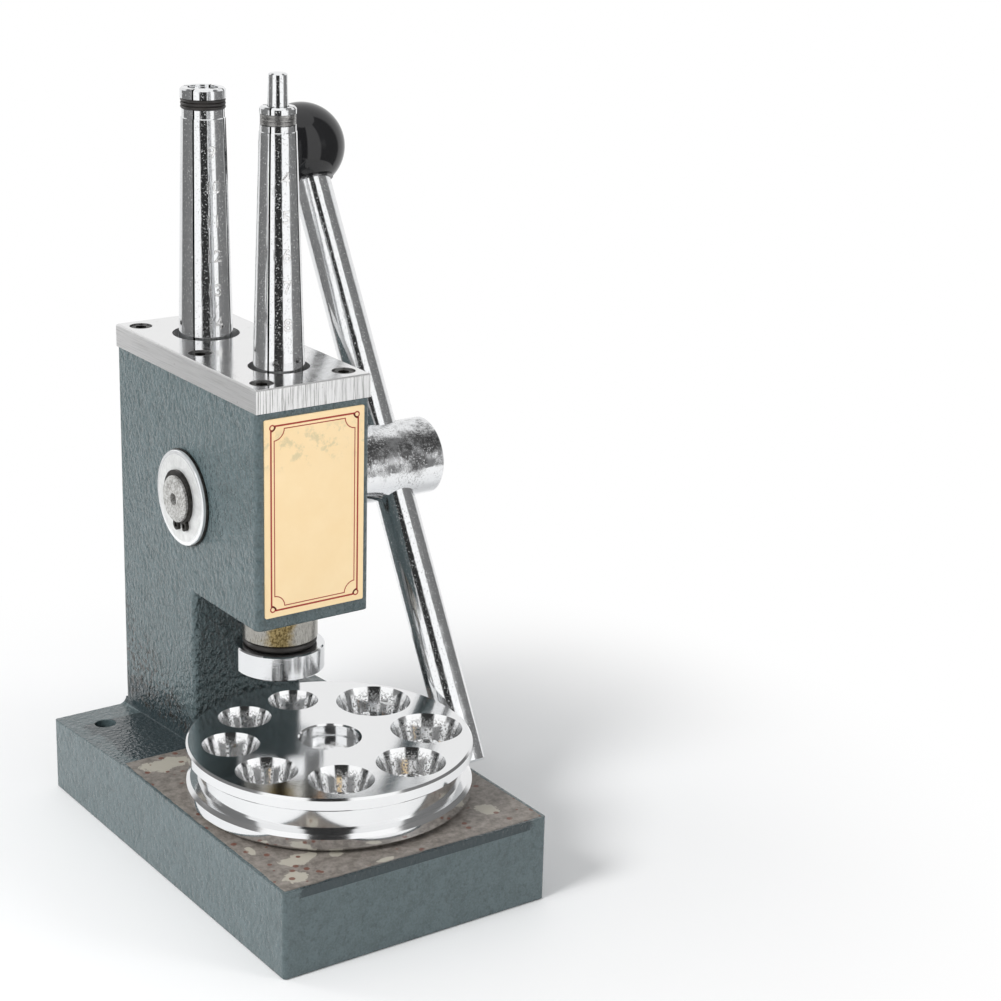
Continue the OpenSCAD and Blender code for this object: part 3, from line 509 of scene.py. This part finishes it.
def wrinkled_paint(finish, edge, column_front):
    """The fresh paint's colour and relief: slanting wrinkles over a soft orange peel, and painted shade in the
    wrinkles' valleys.
    """
    z = finish.axes(finish.place)[2]
    slant = finish.scaled(1, 1, 0.72, turn=(math.radians(-40), 0, 0))
    wrinkles = finish.noise(560, 2.0, 0.5, at=slant, distortion=0.2)
    peel = finish.noise(150, 2)
    low = finish.times(finish.ramp(z, *thick_fade), finish.above(z, foot_z))
    thick = finish.times(low, finish.pick(column_front, 0.8, 4.5))
    thin = finish.ramp(z, base_side_z, foot_z, 0.45, 1.15)
    normal = finish.bump(peel, 0.9 * MM, 0.35, under=edge)
    normal = finish.bump(finish.times(wrinkles, finish.plus(thick, thin)), 1.25 * MM, 0.85, under=normal)
    tint = finish.plus(finish.times(finish.noise(1300, 2), 0.6), finish.times(peel, 0.4))
    paint = finish.mix(finish.ramp(tint, 0.35, 0.65), srgb(76, 89, 91), srgb(88, 102, 105))
    # painted shade: the wrinkles' valleys are darkened
    wrinkle_valley_shade = finish.times(finish.ramp(wrinkles, 0.46, 0.34), 0.3)
    return finish.mix(wrinkle_valley_shade, paint, srgb(52, 62, 64)), normal


def aged_paint(finish, paint):
    """Darkens the paint as painted shade and painted dark reflection at the column's foot, where it pooled, and
    where dirt sits in it.
    """
    x, y, z = finish.axes(finish.place)
    # painted shade and painted dark reflection: darker low at the column's foot, away from the outer edges
    wander = finish.times(finish.minus(finish.noise(120, 4, 0.7), 0.5), foot_shade_wander)
    near = finish.ramp(finish.plus(finish.size(x), wander), *foot_shade_reach)
    low = finish.ramp(finish.plus(z, wander), *foot_shade_fade)
    pooled_paint_shade = finish.times(near, finish.above(z, base_side_z), low)
    paint = finish.mix(finish.times(pooled_paint_shade, 0.85), paint, srgb(36, 48, 52))
    # the dirt reaches higher towards the back, and leaves the back face clean
    slope = finish.minus(z, finish.times(finish.minus(y, column_front_y), dirt_slope))
    corner = finish.times(finish.ramp(slope, *dirt_fade), finish.above(z, dirt_fade[1]))
    not_back = finish.below(finish.axes(finish.facing)[1], 0.5)
    specks = finish.ramp(finish.noise(520, 3), 0.53, 0.59)
    return finish.mix(finish.times(specks, 0.85, corner, not_back), paint, srgb(46, 42, 38))


print("paint pools below", round(foot_shade_fade[0] / MM), "mm")

# %% Paint and bed together
edge_radius = 0.9 * MM
# A place between the base's front face and the column's
front_limit_y = 20 * MM


def hammered_enamel():
    finish = Finish("Hammered_enamel")
    edge = finish.output("ShaderNodeBevel", {"Radius": edge_radius}, samples=6)
    y = finish.axes(finish.place)[1]
    faces_front = finish.below(finish.axes(finish.facing)[1], -0.7)
    column_front = finish.times(faces_front, finish.above(y, front_limit_y))
    paint, paint_normal = wrinkled_paint(finish, edge, column_front)
    iron, grain = stained_iron(finish)
    iron_normal = finish.bump(grain, 0.12 * MM, 0.5, under=edge)
    bed = bed_mask(finish)
    return finish.surface(
        Base_Color=finish.mix(bed, aged_paint(finish, paint), iron),
        Roughness=finish.pick(bed, finish.pick(column_front, 0.17, 0.1), 0.5),
        Specular_IOR_Level=0.5,
        Normal=finish.mix(bed, paint_normal, iron_normal, "VECTOR"),
    )


enamel = hammered_enamel()
print("enamel nodes", len(enamel.node_tree.nodes))

# %% [markdown]
# ## Steel
# Every steel piece mirrors the room, and what tells them apart is how they were finished. A turned
# piece has rings around its axis. A polished bar has a faint ripple along it and small nicks. The
# mandrels are bars cut in quarters, and the faces of their slits are painted dark, as the shade in
# the narrow gaps.

# %% Turned steel
steel_colour = (0.80, 0.81, 0.82)
turning_pitch = 0.16 * MM


def turned_steel(name, axis_point, rough, wave):
    """Steel from the lathe, with rings around an upright axis and a slight wave under its shine."""
    finish = Finish(name)
    radius, _, place = finish.round(axis_point)
    rings = finish.lines(finish.plus(radius, place), turning_pitch)
    spots = finish.nicks(420)
    normal = finish.bump(rings, 0.012 * MM, 0.6)
    normal = finish.bump(finish.noise(170, 3, distortion=0.6), 0.10 * MM, wave, under=normal)
    return finish.surface(
        Base_Color=finish.mix(finish.times(spots, 0.5), steel_colour, srgb(96, 92, 86)),
        Metallic=1.0,
        Roughness=finish.ramp(rings, 0.3, 0.7, rough * 0.75, rough * 1.35),
        Normal=finish.bump(spots, 0.05 * MM, 0.5, under=normal),
    )


cap_steel = turned_steel("Cap_steel", front_axis, rough=0.08, wave=0.12)
print("turned:", cap_steel.name)

# %% Polished bars
bright_steel = (0.86, 0.87, 0.88)
# The ripple's scale in X, Y and Z: fine across a bar and coarse along it
mandrel_stretch = (520, 520, 26)
lever_stretch = (330, 330, 20)


def slit_mask(finish, axis_point):
    """1 on upright faces that don't look away from the axis."""
    x, y, _ = finish.axes(finish.scaled(1, 1, 1, shift=(-axis_point)[:]))
    nx, ny, nz = finish.axes(finish.facing)
    outward = finish.plus(finish.times(x, nx), finish.times(y, ny))
    slit = finish.below(finish.size(outward), finish.times(finish.length(x, y), 0.45))
    return finish.times(slit, finish.below(finish.size(nz), 0.4))


def polished_bar(name, stretch, turn=(0, 0, 0), rough=0.05, slit_axis=None):
    """Polished steel with a ripple drawn out along the bar. A bar cut in quarters has a slit_axis, and its slits'
    faces are painted dark as shade.
    """
    finish = Finish(name)
    ripple = finish.noise(1.0, 4, 0.6, at=finish.scaled(*stretch, turn=turn))
    spots = finish.nicks(520, 0.7)
    scratches = finish.nicks(1500, 0.6)
    normal = finish.bump(ripple, 0.09 * MM, 0.55)
    normal = finish.bump(finish.noise(240, 3, 0.6), 0.05 * MM, 0.3, under=normal)
    marks = finish.plus(spots, finish.times(scratches, 0.28))
    normal = finish.bump(marks, 0.12 * MM, 0.7, under=normal)
    tone = finish.mix(finish.times(spots, 0.3), bright_steel, srgb(120, 118, 114))
    if slit_axis is not None:
        # painted shade: the faces of the slits are darkened, as the shade in the narrow gaps
        tone = finish.mix(slit_mask(finish, slit_axis), tone, srgb(40, 36, 32))
    roughness = finish.ramp(finish.noise(140, 4), 0.35, 0.75, rough, rough * 2.6)
    return finish.surface(Base_Color=tone, Metallic=1.0, Roughness=roughness, Normal=normal)


lever_lean = middle("ball_knob") - middle("lever_bar")
lever_turn = math.atan2(lever_lean.y, lever_lean.z)
spindle_steel = polished_bar("Mandrel_steel", mandrel_stretch)
front_segment_steel = polished_bar("Front_segment_steel", mandrel_stretch, slit_axis=front_axis)
rear_segment_steel = polished_bar("Rear_segment_steel", mandrel_stretch, slit_axis=rear_axis)
lever_steel = polished_bar("Lever_steel", lever_stretch, turn=(lever_turn, 0, 0), rough=0.07)
print("lever turned by", round(math.degrees(lever_turn), 1), "degrees")

# %% [markdown]
# ## The crank's shaft
# One piece with two looks: the hub is polished, but heavily nicked, with a painted dark reflection,
# broken by pits, on the upper side towards the user. The journal's end on the left is rough and
# pale, with its centre hole painted dark as shade.

# %% Hub and journal
# The direction around the shaft in which the hub's dark reflection is painted
dark_reflection_angle = math.radians(140)
# What lies further left on the shaft than this gets the journal's look
journal_limit = -20 * MM
centre_hole_r = 2.0 * MM
hub_pitch = 0.25 * MM


def hub_finish():
    """Wear and a painted dark reflection on the hub's round side only, and a rough journal end with its centre
    hole painted dark as shade.
    """
    finish = Finish("Hub_steel")
    radius, angle, place = finish.round(shaft, "X")
    pits = finish.noise(1250, 5, 0.75)
    round_side = finish.below(finish.size(finish.axes(finish.facing)[0]), 0.5)
    # painted dark reflection: a band on the upper side towards the user, broken by pits
    around = finish.math("COSINE", finish.minus(angle, dark_reflection_angle))
    cloud = finish.times(finish.minus(finish.noise(90, 4, 0.7), 0.5), 1.5)
    grime_and_dark_reflection = finish.times(finish.ramp(finish.plus(around, cloud), 0.72, 1.02), round_side)
    worn = finish.times(finish.ramp(finish.noise(70, 3, 0.6), 0.4, 0.6), round_side)
    journal = finish.below(place, journal_limit)
    # painted shade: a dark disc stands for the shade in the journal's centre hole
    painted_hole_shade = finish.times(journal, finish.below(radius, centre_hole_r))
    normal = finish.bump(finish.lines(place, hub_pitch), 0.012 * MM, 0.5)
    normal = finish.bump(finish.noise(120, 3, distortion=0.5), 0.2 * MM, 0.5, under=normal)
    normal = finish.bump(finish.times(pits, finish.most(worn, grime_and_dark_reflection)), 0.16 * MM, 0.9, under=normal)
    grey = finish.times(finish.ramp(pits, 0.54, 0.62), worn, 0.6)
    painted_dark_reflection = finish.times(finish.ramp(pits, 0.62, 0.5), grime_and_dark_reflection, 0.85)
    tone = finish.mix(grey, bright_steel, srgb(90, 87, 84))
    tone = finish.mix(painted_dark_reflection, tone, srgb(34, 32, 31))
    pale = finish.mix(finish.ramp(pits, 0.42, 0.6), srgb(206, 206, 204), srgb(142, 140, 136))
    tone = finish.mix(journal, tone, pale)
    return finish.surface(
        Base_Color=finish.mix(painted_hole_shade, tone, srgb(26, 24, 22)),
        Metallic=finish.pick(journal, 1.0, 0.45),
        Roughness=finish.pick(journal, finish.ramp(worn, 0.0, 1.0, 0.08, 0.13), 0.42),
        Normal=normal,
    )


hub_steel = hub_finish()
print("hub nodes", len(hub_steel.node_tree.nodes))

# %% [markdown]
# ## The die plate's finish
# The flat top was faced on a lathe, so its rings run around the plate's own axis. Each conical
# mouth was cut separately, so its marks run around the mouth. Folding the angle around the plate
# into eight equal slices brings every mouth to the same place, and one pattern serves all eight.

# %% Die plate
mouths = 8
first_mouth = math.radians(81.4)
mouth_pitch_r = 37.22 * MM
mouth_r_limit = 14.7 * MM
faced_pitch = 0.22 * MM
mouth_pitch = 0.28 * MM
# Depths under the plate's top: where the cones begin, and where their dark pits begin and are full; the pits
# thicken with depth as painted shade inside the mouths
cone_depth = 0.3 * MM
shade_pits_start, shade_pits_full = 0.5 * MM, 6 * MM


def die_steel():
    """Rings around the plate's axis on the flats, and around each mouth in the cones."""
    finish = Finish("Die_steel")
    radius, angle, place = finish.round(die_axis)
    slice_angle = math.tau / mouths
    turned = finish.plus(angle, slice_angle / 2 - first_mouth + math.tau)
    folded = finish.minus(finish.math("MODULO", turned, slice_angle), slice_angle / 2)
    u = finish.minus(finish.times(radius, finish.math("COSINE", folded)), mouth_pitch_r)
    v = finish.times(radius, finish.math("SINE", folded))
    mouth_r = finish.length(u, v)
    top = die_top - die_axis.z
    steep = finish.within(finish.axes(finish.facing)[2], 0.15, 0.9)
    below_top = finish.below(place, top - cone_depth)
    cone = finish.times(below_top, finish.below(mouth_r, mouth_r_limit), steep)
    rings = finish.pick(cone, finish.lines(radius, faced_pitch), finish.lines(mouth_r, mouth_pitch))
    # dark pits that thicken deeper into each mouth: real pits, and painted shade inside the mouth
    deeper_shade = finish.ramp(place, top - shade_pits_start, top - shade_pits_full)
    spots = finish.times(finish.ramp(finish.noise(1200, 3, 0.7), 0.53, 0.6), cone, deeper_shade)
    normal = finish.bump(rings, 0.010 * MM, 0.6)
    normal = finish.bump(finish.noise(60, 2), 0.06 * MM, 0.25, under=normal)
    tone = finish.mix(finish.times(spots, 0.6), (0.86, 0.865, 0.87), srgb(56, 52, 48))
    return finish.surface(
        Base_Color=finish.mix(finish.times(finish.nicks(300, 0.73), 0.5), tone, srgb(110, 106, 100)),
        Metallic=1.0,
        Roughness=finish.ramp(rings, 0.3, 0.7, 0.06, 0.14),
        Normal=finish.bump(spots, 0.10 * MM, 0.8, under=normal),
    )


die_plate_steel = die_steel()
print("mouths", mouths, "first at", round(math.degrees(first_mouth), 1))

# %% [markdown]
# ## The ground top plate
# The top is ground bright and mirrors the mandrels. Its edges came from a saw and a belt: on the
# front edge the lines stand upright, on the long sides they lie flat and the surface is duller.


# %% Top plate
def ground_plate():
    """Lines drawn along Y on the top, upright on the ends and flat on the long sides."""
    finish = Finish("Ground_plate")
    _, ny, nz = finish.axes(finish.facing)
    top = finish.above(nz, 0.9)
    end = finish.above(finish.size(ny), 0.8)
    upright = finish.noise(1.0, 5, 0.7, at=finish.scaled(3000, 3000, 60))
    flat = finish.noise(1.0, 5, 0.7, at=finish.scaled(3300, 50, 3300))
    drawn = finish.noise(1.0, 4, 0.65, at=finish.scaled(900, 60, 900))
    marks = finish.pick(top, finish.pick(end, flat, upright), drawn)
    normal = finish.bump(marks, 0.07 * MM, finish.pick(top, 0.9, 0.16))
    bright = finish.ramp(finish.noise(200, 5, 0.7), 0.3, 0.7, 0.09, 0.2)
    grime_and_dark_reflection = finish.ramp(finish.noise(380, 4, 0.7), 0.66, 0.74)
    tone = finish.mix(finish.times(grime_and_dark_reflection, 0.45), (0.86, 0.86, 0.86), srgb(120, 116, 110))
    streaks = finish.times(finish.ramp(marks, 0.48, 0.66), finish.minus(1.0, top))
    streaks = finish.times(streaks, finish.pick(end, 0.25, 0.85))
    return finish.surface(
        Base_Color=finish.mix(streaks, tone, srgb(112, 111, 109)),
        Metallic=1.0,
        Roughness=finish.pick(top, 0.34, bright),
        Normal=finish.bump(finish.noise(120, 3), 0.05 * MM, 0.3, under=normal),
    )


plate_steel = ground_plate()
print("top plate nodes", len(plate_steel.node_tree.nodes))

# %% [markdown]
# ## The smaller steel pieces
# The washer is dull with a bright rim, and the clips and screws are blackened. The ram is crossed
# by fine scratches, and one patch of old oil has dried low on its front.

# %% Washer, blackened steel and ram
washer_rim_start, washer_rim_end = 16.6 * MM, 17.2 * MM
scratch_lean = 0.85
scratch_stretch = (2600, 2600, 420)
oil_x = front_axis.x - 7 * MM
# Sideways from the oil's middle: where it ends and where it is full, with some wander
oil_fade = (10.5 * MM, 6 * MM)
oil_wander = 9 * MM


def washer_finish():
    finish = Finish("Washer_steel")
    radius, _, _ = finish.round(shaft, "X")
    rim = finish.ramp(radius, washer_rim_start, washer_rim_end)
    cloud = finish.noise(300, 5, 0.7)
    tone = finish.mix(finish.ramp(cloud, 0.3, 0.7), srgb(214, 215, 214), srgb(234, 235, 234))
    return finish.surface(
        Base_Color=finish.mix(rim, tone, srgb(238, 239, 240)),
        Metallic=0.55,
        Roughness=finish.pick(rim, 0.42, 0.16),
        Normal=finish.bump(cloud, 0.05 * MM, 0.5),
    )


def blackened_finish():
    finish = Finish("Blackened_steel")
    cloud = finish.noise(700, 4, 0.7)
    return finish.surface(
        Base_Color=finish.mix(finish.ramp(cloud, 0.35, 0.7), srgb(34, 33, 32), srgb(78, 76, 73)),
        Metallic=0.9,
        Roughness=finish.ramp(cloud, 0.3, 0.7, 0.28, 0.5),
        Normal=finish.bump(cloud, 0.05 * MM, 0.5),
    )


def ram_finish():
    finish = Finish("Greasy_steel")
    leaning = [finish.scaled(*scratch_stretch, turn=(0, s * scratch_lean, 0)) for s in (1, -1)]
    marks = finish.most(*[finish.noise(1.0, 4, 0.7, at=place) for place in leaning])
    tone = finish.mix(finish.ramp(marks, 0.5, 0.75), srgb(170, 168, 162), srgb(98, 95, 90))
    x, y, _ = finish.axes(finish.place)
    aside = finish.size(finish.minus(x, oil_x))
    aside = finish.plus(aside, finish.times(finish.noise(160, 4, 0.7), oil_wander))
    oil = finish.times(finish.ramp(aside, *oil_fade), finish.below(y, front_axis.y))
    tone = finish.mix(finish.times(oil, 0.8), tone, srgb(158, 136, 78))
    dried = finish.times(finish.ramp(finish.noise(900, 4, 0.75), 0.46, 0.6), oil, 0.8)
    return finish.surface(
        Base_Color=finish.mix(dried, tone, srgb(74, 58, 28)),
        Metallic=1.0,
        Roughness=finish.ramp(marks, 0.4, 0.75, 0.16, 0.4),
        Normal=finish.bump(marks, 0.05 * MM, 0.6),
    )


washer_steel = washer_finish()
blackened_steel = blackened_finish()
ram_steel = ram_finish()
print("made", washer_steel.name, blackened_steel.name, ram_steel.name)

# %% [markdown]
# ## Ball, name plate and the pieces inside
# The ball is a hard black plastic that shows the lamps as clear patches. The name plate is thin
# metal printed in a warm cream, with a little tarnish in a band near its top.

# %% Ball, name plate and plain kinds
# Heights over which the tarnish fades in, from below and from above
tarnish_low = (157 * MM, 164 * MM)
tarnish_high = (176 * MM, 171 * MM)


def ball_finish():
    finish = Finish("Ball_plastic")
    return finish.surface(
        Base_Color=(0.012, 0.012, 0.013),
        Roughness=finish.ramp(finish.noise(240, 4), 0.35, 0.7, 0.05, 0.11),
        Specular_IOR_Level=0.5,
        Normal=finish.bump(finish.noise(60, 2), 0.08 * MM, 0.12),
    )


def gilt_finish():
    finish = Finish("Gilt_plate")
    z = finish.axes(finish.place)[2]
    cloud = finish.noise(55, 4, 0.6)
    tarnish = finish.ramp(finish.noise(150, 5, 0.7), 0.5, 0.62)
    band = finish.times(finish.ramp(z, *tarnish_low), finish.ramp(z, *tarnish_high))
    tone = finish.mix(finish.ramp(cloud, 0.3, 0.7), srgb(253, 226, 180), srgb(250, 221, 172))
    return finish.surface(
        Base_Color=finish.mix(finish.times(tarnish, band, 0.4), tone, srgb(176, 174, 140)),
        Metallic=0.25,
        Roughness=0.3,
        Normal=finish.bump(cloud, 0.05 * MM, 0.2),
    )


def plain_kind(name, low, high, metal, rough, scale=260):
    """A quiet finish for rubber, bronze and the pieces inside, still with its own grain."""
    finish = Finish(name)
    grain = finish.noise(scale, 5, 0.7)
    return finish.surface(
        Base_Color=finish.mix(finish.ramp(grain, 0.3, 0.7), low, high),
        Metallic=metal,
        Roughness=finish.ramp(grain, 0.3, 0.7, rough * 0.8, rough * 1.2),
        Normal=finish.bump(grain, 0.05 * MM, 0.4),
    )


ball_plastic = ball_finish()
gilt_plate = gilt_finish()
inner_steel = plain_kind("Inner_steel", srgb(118, 118, 116), srgb(164, 163, 160), 1.0, 0.35)
bronze = plain_kind("Bronze", srgb(150, 106, 58), srgb(190, 142, 84), 1.0, 0.3)
black_rubber = plain_kind("Black_rubber", srgb(26, 24, 23), srgb(48, 45, 43), 0.0, 0.45)
print("materials so far:", len(bpy.data.materials))

# %% [markdown]
# ## Every CAD node gets its finish
# A node takes the finish of its material slot, unless it has one of its own.

# %% Finishes on the CAD nodes
finish_of_slot = {
    "enamel": enamel,
    "plate_steel": plate_steel,
    "polished_steel": spindle_steel,
    "turned_steel": hub_steel,
    "greasy_steel": ram_steel,
    "dark_steel": blackened_steel,
    "washer_steel": washer_steel,
    "inner_steel": inner_steel,
    "bronze": bronze,
    "ball_plastic": ball_plastic,
    "black_rubber": black_rubber,
    "gilt_plate": gilt_plate,
}
finish_of_node = {
    "lever_bar": lever_steel,
    "ram_cap": cap_steel,
    "die_plate": die_plate_steel,
}
for number in range(1, 5):
    finish_of_node[f"front_segment_{number}"] = front_segment_steel
    finish_of_node[f"rear_segment_{number}"] = rear_segment_steel
slot_of = {s["node"]: s["material_slot"] for s in frame["record"]["subparts"]}
for name, piece in frame["nodes"].items():
    piece.data.materials.clear()
    piece.data.materials.append(finish_of_node.get(name, finish_of_slot[slot_of[name]]))
print("finishes given to", len(frame["nodes"]), "CAD nodes")

# %% [markdown]
# ## Ribs of the segment band
# The front mandrel's quarters are held by a sleeve of fine turns. Equal rings stacked on a line are
# a job for Geometry Nodes: one ring is swept, then instanced up the axis with named inputs for its
# sizes. Realize Instances makes plain geometry of it, because the export drops instances.


# %% Ring stack tree
def ring_stack_tree(material):
    """A stack of equal round rings around Z."""
    tree = bpy.data.node_groups.new("Ring_stack", "GeometryNodeTree")
    for name in ("Radius", "Wire", "Pitch"):
        tree.interface.new_socket(name, in_out="INPUT", socket_type="NodeSocketFloat")
    tree.interface.new_socket("Count", in_out="INPUT", socket_type="NodeSocketInt")
    tree.interface.new_socket("Rings", in_out="OUTPUT", socket_type="NodeSocketGeometry")
    nodes = Nodes(tree)
    sizes = nodes.add("NodeGroupInput").outputs
    path = nodes.output("GeometryNodeCurvePrimitiveCircle", {"Resolution": 72, "Radius": sizes["Radius"]})
    wire = nodes.output("GeometryNodeCurvePrimitiveCircle", {"Resolution": 10, "Radius": sizes["Wire"]})
    ring = nodes.output("GeometryNodeCurveToMesh", {"Curve": path, "Profile Curve": wire})
    step = nodes.output("ShaderNodeCombineXYZ", {"Z": sizes["Pitch"]})
    line = nodes.output("GeometryNodeMeshLine", {"Count": sizes["Count"], "Offset": step})
    stack = nodes.output("GeometryNodeInstanceOnPoints", {"Points": line, "Instance": ring})
    real = nodes.output("GeometryNodeRealizeInstances", {"Geometry": stack})
    smooth = nodes.output("GeometryNodeSetShadeSmooth", {0: real})
    painted = nodes.output("GeometryNodeSetMaterial", {"Geometry": smooth, "Material": material})
    nodes.add("NodeGroupOutput", {0: painted})
    return tree


def plain_mesh(maker, name):
    """The evaluated object's mesh under a new name, and the maker removed."""
    graph = bpy.context.evaluated_depsgraph_get()
    mesh = bpy.data.meshes.new_from_object(maker.evaluated_get(graph))
    mesh.name = name
    old = maker.data
    bpy.data.objects.remove(maker)
    if isinstance(old, bpy.types.Mesh):
        bpy.data.meshes.remove(old)
    return mesh


sleeve_steel = plain_kind("Sleeve_steel", srgb(128, 127, 126), srgb(170, 169, 168), 1.0, 0.26, 700)
ring_stack = ring_stack_tree(sleeve_steel)
print("ring stack nodes", len(ring_stack.nodes))

# %% Ribs on the front band
band_low, band_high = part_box("front_segment_band")
band_r = (band_high.x - band_low.x) / 2
end_room = 0.05 * MM
stand_out = 0.04 * MM
rib_count = 8
rib_pitch = (band_high.z - band_low.z - 2 * end_room) / rib_count
rib_wire = rib_pitch / 2
rib_r = band_r + stand_out - rib_wire
rib_sizes = {"Radius": rib_r, "Wire": rib_wire, "Pitch": rib_pitch, "Count": rib_count}


def make_ribs():
    maker = bpy.data.objects.new("Maker", bpy.data.meshes.new("Maker"))
    scene.collection.objects.link(maker)
    turns = maker.modifiers.new("Rings", "NODES")
    turns.node_group = ring_stack
    for item in ring_stack.interface.items_tree:
        if item.name in rib_sizes:
            turns[item.identifier] = rib_sizes[item.name]
    mesh = plain_mesh(maker, "front_band_ribs")
    mesh.transform(Matrix.Translation((front_axis.x, front_axis.y, band_low.z + end_room + rib_wire)))
    ribs = bpy.data.objects.new("front_band_ribs", mesh)
    scene.collection.objects.link(ribs)
    return ribs


ribs = make_ribs()
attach(ribs, "frame")
print("ribs", rib_count, "faces", len(ribs.data.polygons))

# %% [markdown]
# ## Size numbers
# The sizes are struck into the quarter that faces the user, one above the other. A text object
# makes the figures. Its mesh is then bent around the mandrel's cone: across the figure becomes an
# angle, and height stays height.

# %% Figures as meshes
figure_height = 4.6 * MM
# A figure is this share of its font's size
figure_share = 0.7
figure_bevel = 0.15 * MM
figure_weight = 0.04 * MM


def figure_mesh(text):
    """A number lying in X and Y, centred across."""
    curve = bpy.data.curves.new("Figure", "FONT")
    curve.body = text
    curve.size = figure_height / figure_share
    curve.align_x = "CENTER"
    curve.fill_mode = "FRONT"
    curve.bevel_depth = figure_bevel
    curve.bevel_resolution = 2
    curve.offset = figure_weight
    curve.resolution_u = 4
    maker = bpy.data.objects.new("Figure", curve)
    scene.collection.objects.link(maker)
    return plain_mesh(maker, "Figure")


def mark_finish():
    finish = Finish("Struck_mark")
    return finish.surface(
        Base_Color=finish.mix(finish.noise(900, 3), (0.72, 0.72, 0.72), (0.95, 0.95, 0.95)),
        Metallic=1.0,
        Roughness=0.16,
        Normal=finish.bump(finish.noise(1500, 2), 0.12 * MM, 0.8),
    )


struck_mark = mark_finish()
print("figures", round(figure_height / MM, 1), "mm high")

# %% [markdown]
# Each mandrel has its marks at the heights where its diameter is that size. A cone is given by the
# height and the radius at its two ends.

# %% Numbers on the mandrels
# The direction around a mandrel in which its numbered quarter looks
facing_angle = math.radians(262)
figure_lift = 0.01 * MM
front_cone = ((plate_top, 9.6 * MM), (277.2 * MM, 6.85 * MM))
rear_cone = ((plate_top, 10.5 * MM), (274.1 * MM, 8.5 * MM))
# Height of each mark above the bench, in millimetres
front_marks = {4: 260.9, 5: 247.1, 6: 233.3, 7: 221.7, 8: 207.7}
rear_marks = {9: 261.7, 10: 248.7, 11: 235.7, 12: 222.4, 13: 209.2, 14: 196.2}


def bend(mesh, height, axis, cone):
    """Wraps a figure around a cone, its middle at a height."""
    (root_z, root_r), (top_z, top_r) = cone
    ys = [v.co.y for v in mesh.vertices]
    middle_y = (min(ys) + max(ys)) / 2
    for v in mesh.vertices:
        z = height + v.co.y - middle_y
        share = (z - root_z) / (top_z - root_z)
        radius = root_r + (top_r - root_r) * share
        angle = facing_angle + v.co.x / radius
        radius += v.co.z + figure_lift
        v.co = (axis.x + radius * math.cos(angle), axis.y + radius * math.sin(angle), z)


def struck_numbers(name, marks, axis, cone, body):
    shape = bmesh.new()
    for size, height in marks.items():
        mesh = figure_mesh(str(size))
        bend(mesh, height * MM, axis, cone)
        shape.from_mesh(mesh)
        bpy.data.meshes.remove(mesh)
    piece = new_object(name, shape, struck_mark)
    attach(piece, body)
    print(name, "faces", len(piece.data.polygons))


struck_numbers("front_size_numbers", front_marks, front_axis, front_cone, "front_quarter_4")
struck_numbers("rear_size_numbers", rear_marks, rear_axis, rear_cone, "rear_quarter_4")

# %% [markdown]
# ## The name plate's border
# A thick and a thin red line run around the plate, the thin one with hollow corners, and a small
# ring sits in each corner. The plate inside stays bare. Each line is a strip between two copies of
# the same path, one set in a little further than the other.

# %% Paths of the border
name_low, name_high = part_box("name_plate")
name_middle = middle("name_plate")
half_w = (name_high.x - name_low.x) / 2
half_h = (name_high.z - name_low.z) / 2
# Each line's distance from the edge, its width, and the radius cut out of its corners
border_lines = [(2.3 * MM, 0.66 * MM, 1.9 * MM), (3.8 * MM, 0.38 * MM, 4.2 * MM)]
ring_inset = 3.2 * MM
ring_radii = (1.25 * MM, 0.75 * MM)
arc_steps = 8
ring_steps = 20


def hollow_path(inset, width, corner):
    """A rectangle with quarter circles cut out of its corners, set in from its line by a width."""
    a = half_w - inset
    b = half_h - inset
    reach = corner + width
    first = math.acos(width / reach)
    last = math.asin(width / reach)
    points = []
    for sx, sz in ((1, 1), (-1, 1), (-1, -1), (1, -1)):
        arc = []
        for i in range(arc_steps + 1):
            t = first + (last - first) * i / arc_steps
            arc.append((sx * (a - reach * math.cos(t)), sz * (b - reach * math.sin(t))))
        points += arc if sx == sz else arc[::-1]
    return points


def ring_path(sx, sz, radius):
    """A circle in one of the plate's corners."""
    x = sx * (half_w - ring_inset)
    z = sz * (half_h - ring_inset)
    turns = [i * math.tau / ring_steps for i in range(ring_steps)]
    return [(x + radius * math.cos(t), z + radius * math.sin(t)) for t in turns]


def border_strips():
    """The outer and inner path of each strip."""
    strips = []
    for inset, width, corner in border_lines:
        strips.append((hollow_path(inset, 0.0, corner), hollow_path(inset, width, corner)))
    for sx in (-1, 1):
        for sz in (-1, 1):
            strips.append([ring_path(sx, sz, radius) for radius in ring_radii])
    return strips


print("strips", len(border_strips()))

# %% [markdown]
# The strips are drawn a little in front of the plate and given a thickness back towards it, so
# that each is a closed solid, as thin as printed paint.

# %% Border
paint_stand_out = 0.03 * MM
paint_thickness = 0.04 * MM


def red_print():
    finish = Finish("Red_print")
    tone = finish.mix(finish.noise(700, 4), srgb(146, 30, 20), srgb(172, 48, 32))
    return finish.surface(Base_Color=tone, Roughness=0.4)


def make_border():
    """Closed strips. Each is a tube with four long sides: outer wall, front, inner wall and back."""
    front = name_low.y - paint_stand_out
    back = front + paint_thickness
    shape = bmesh.new()
    for outer, inner in border_strips():
        edges = ((outer, front), (inner, front), (inner, back), (outer, back))
        rows = [
            [shape.verts.new((name_middle.x + x, y, name_middle.z + z)) for x, z in path]
            for path, y in edges
        ]
        for k in range(len(rows)):
            last, row = rows[k - 1], rows[k]
            for i in range(len(row)):
                shape.faces.new((last[i - 1], last[i], row[i], row[i - 1]))
    return new_object("name_plate_border", shape, red_print())


border = make_border()
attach(border, "frame")
print("border faces", len(border.data.polygons))
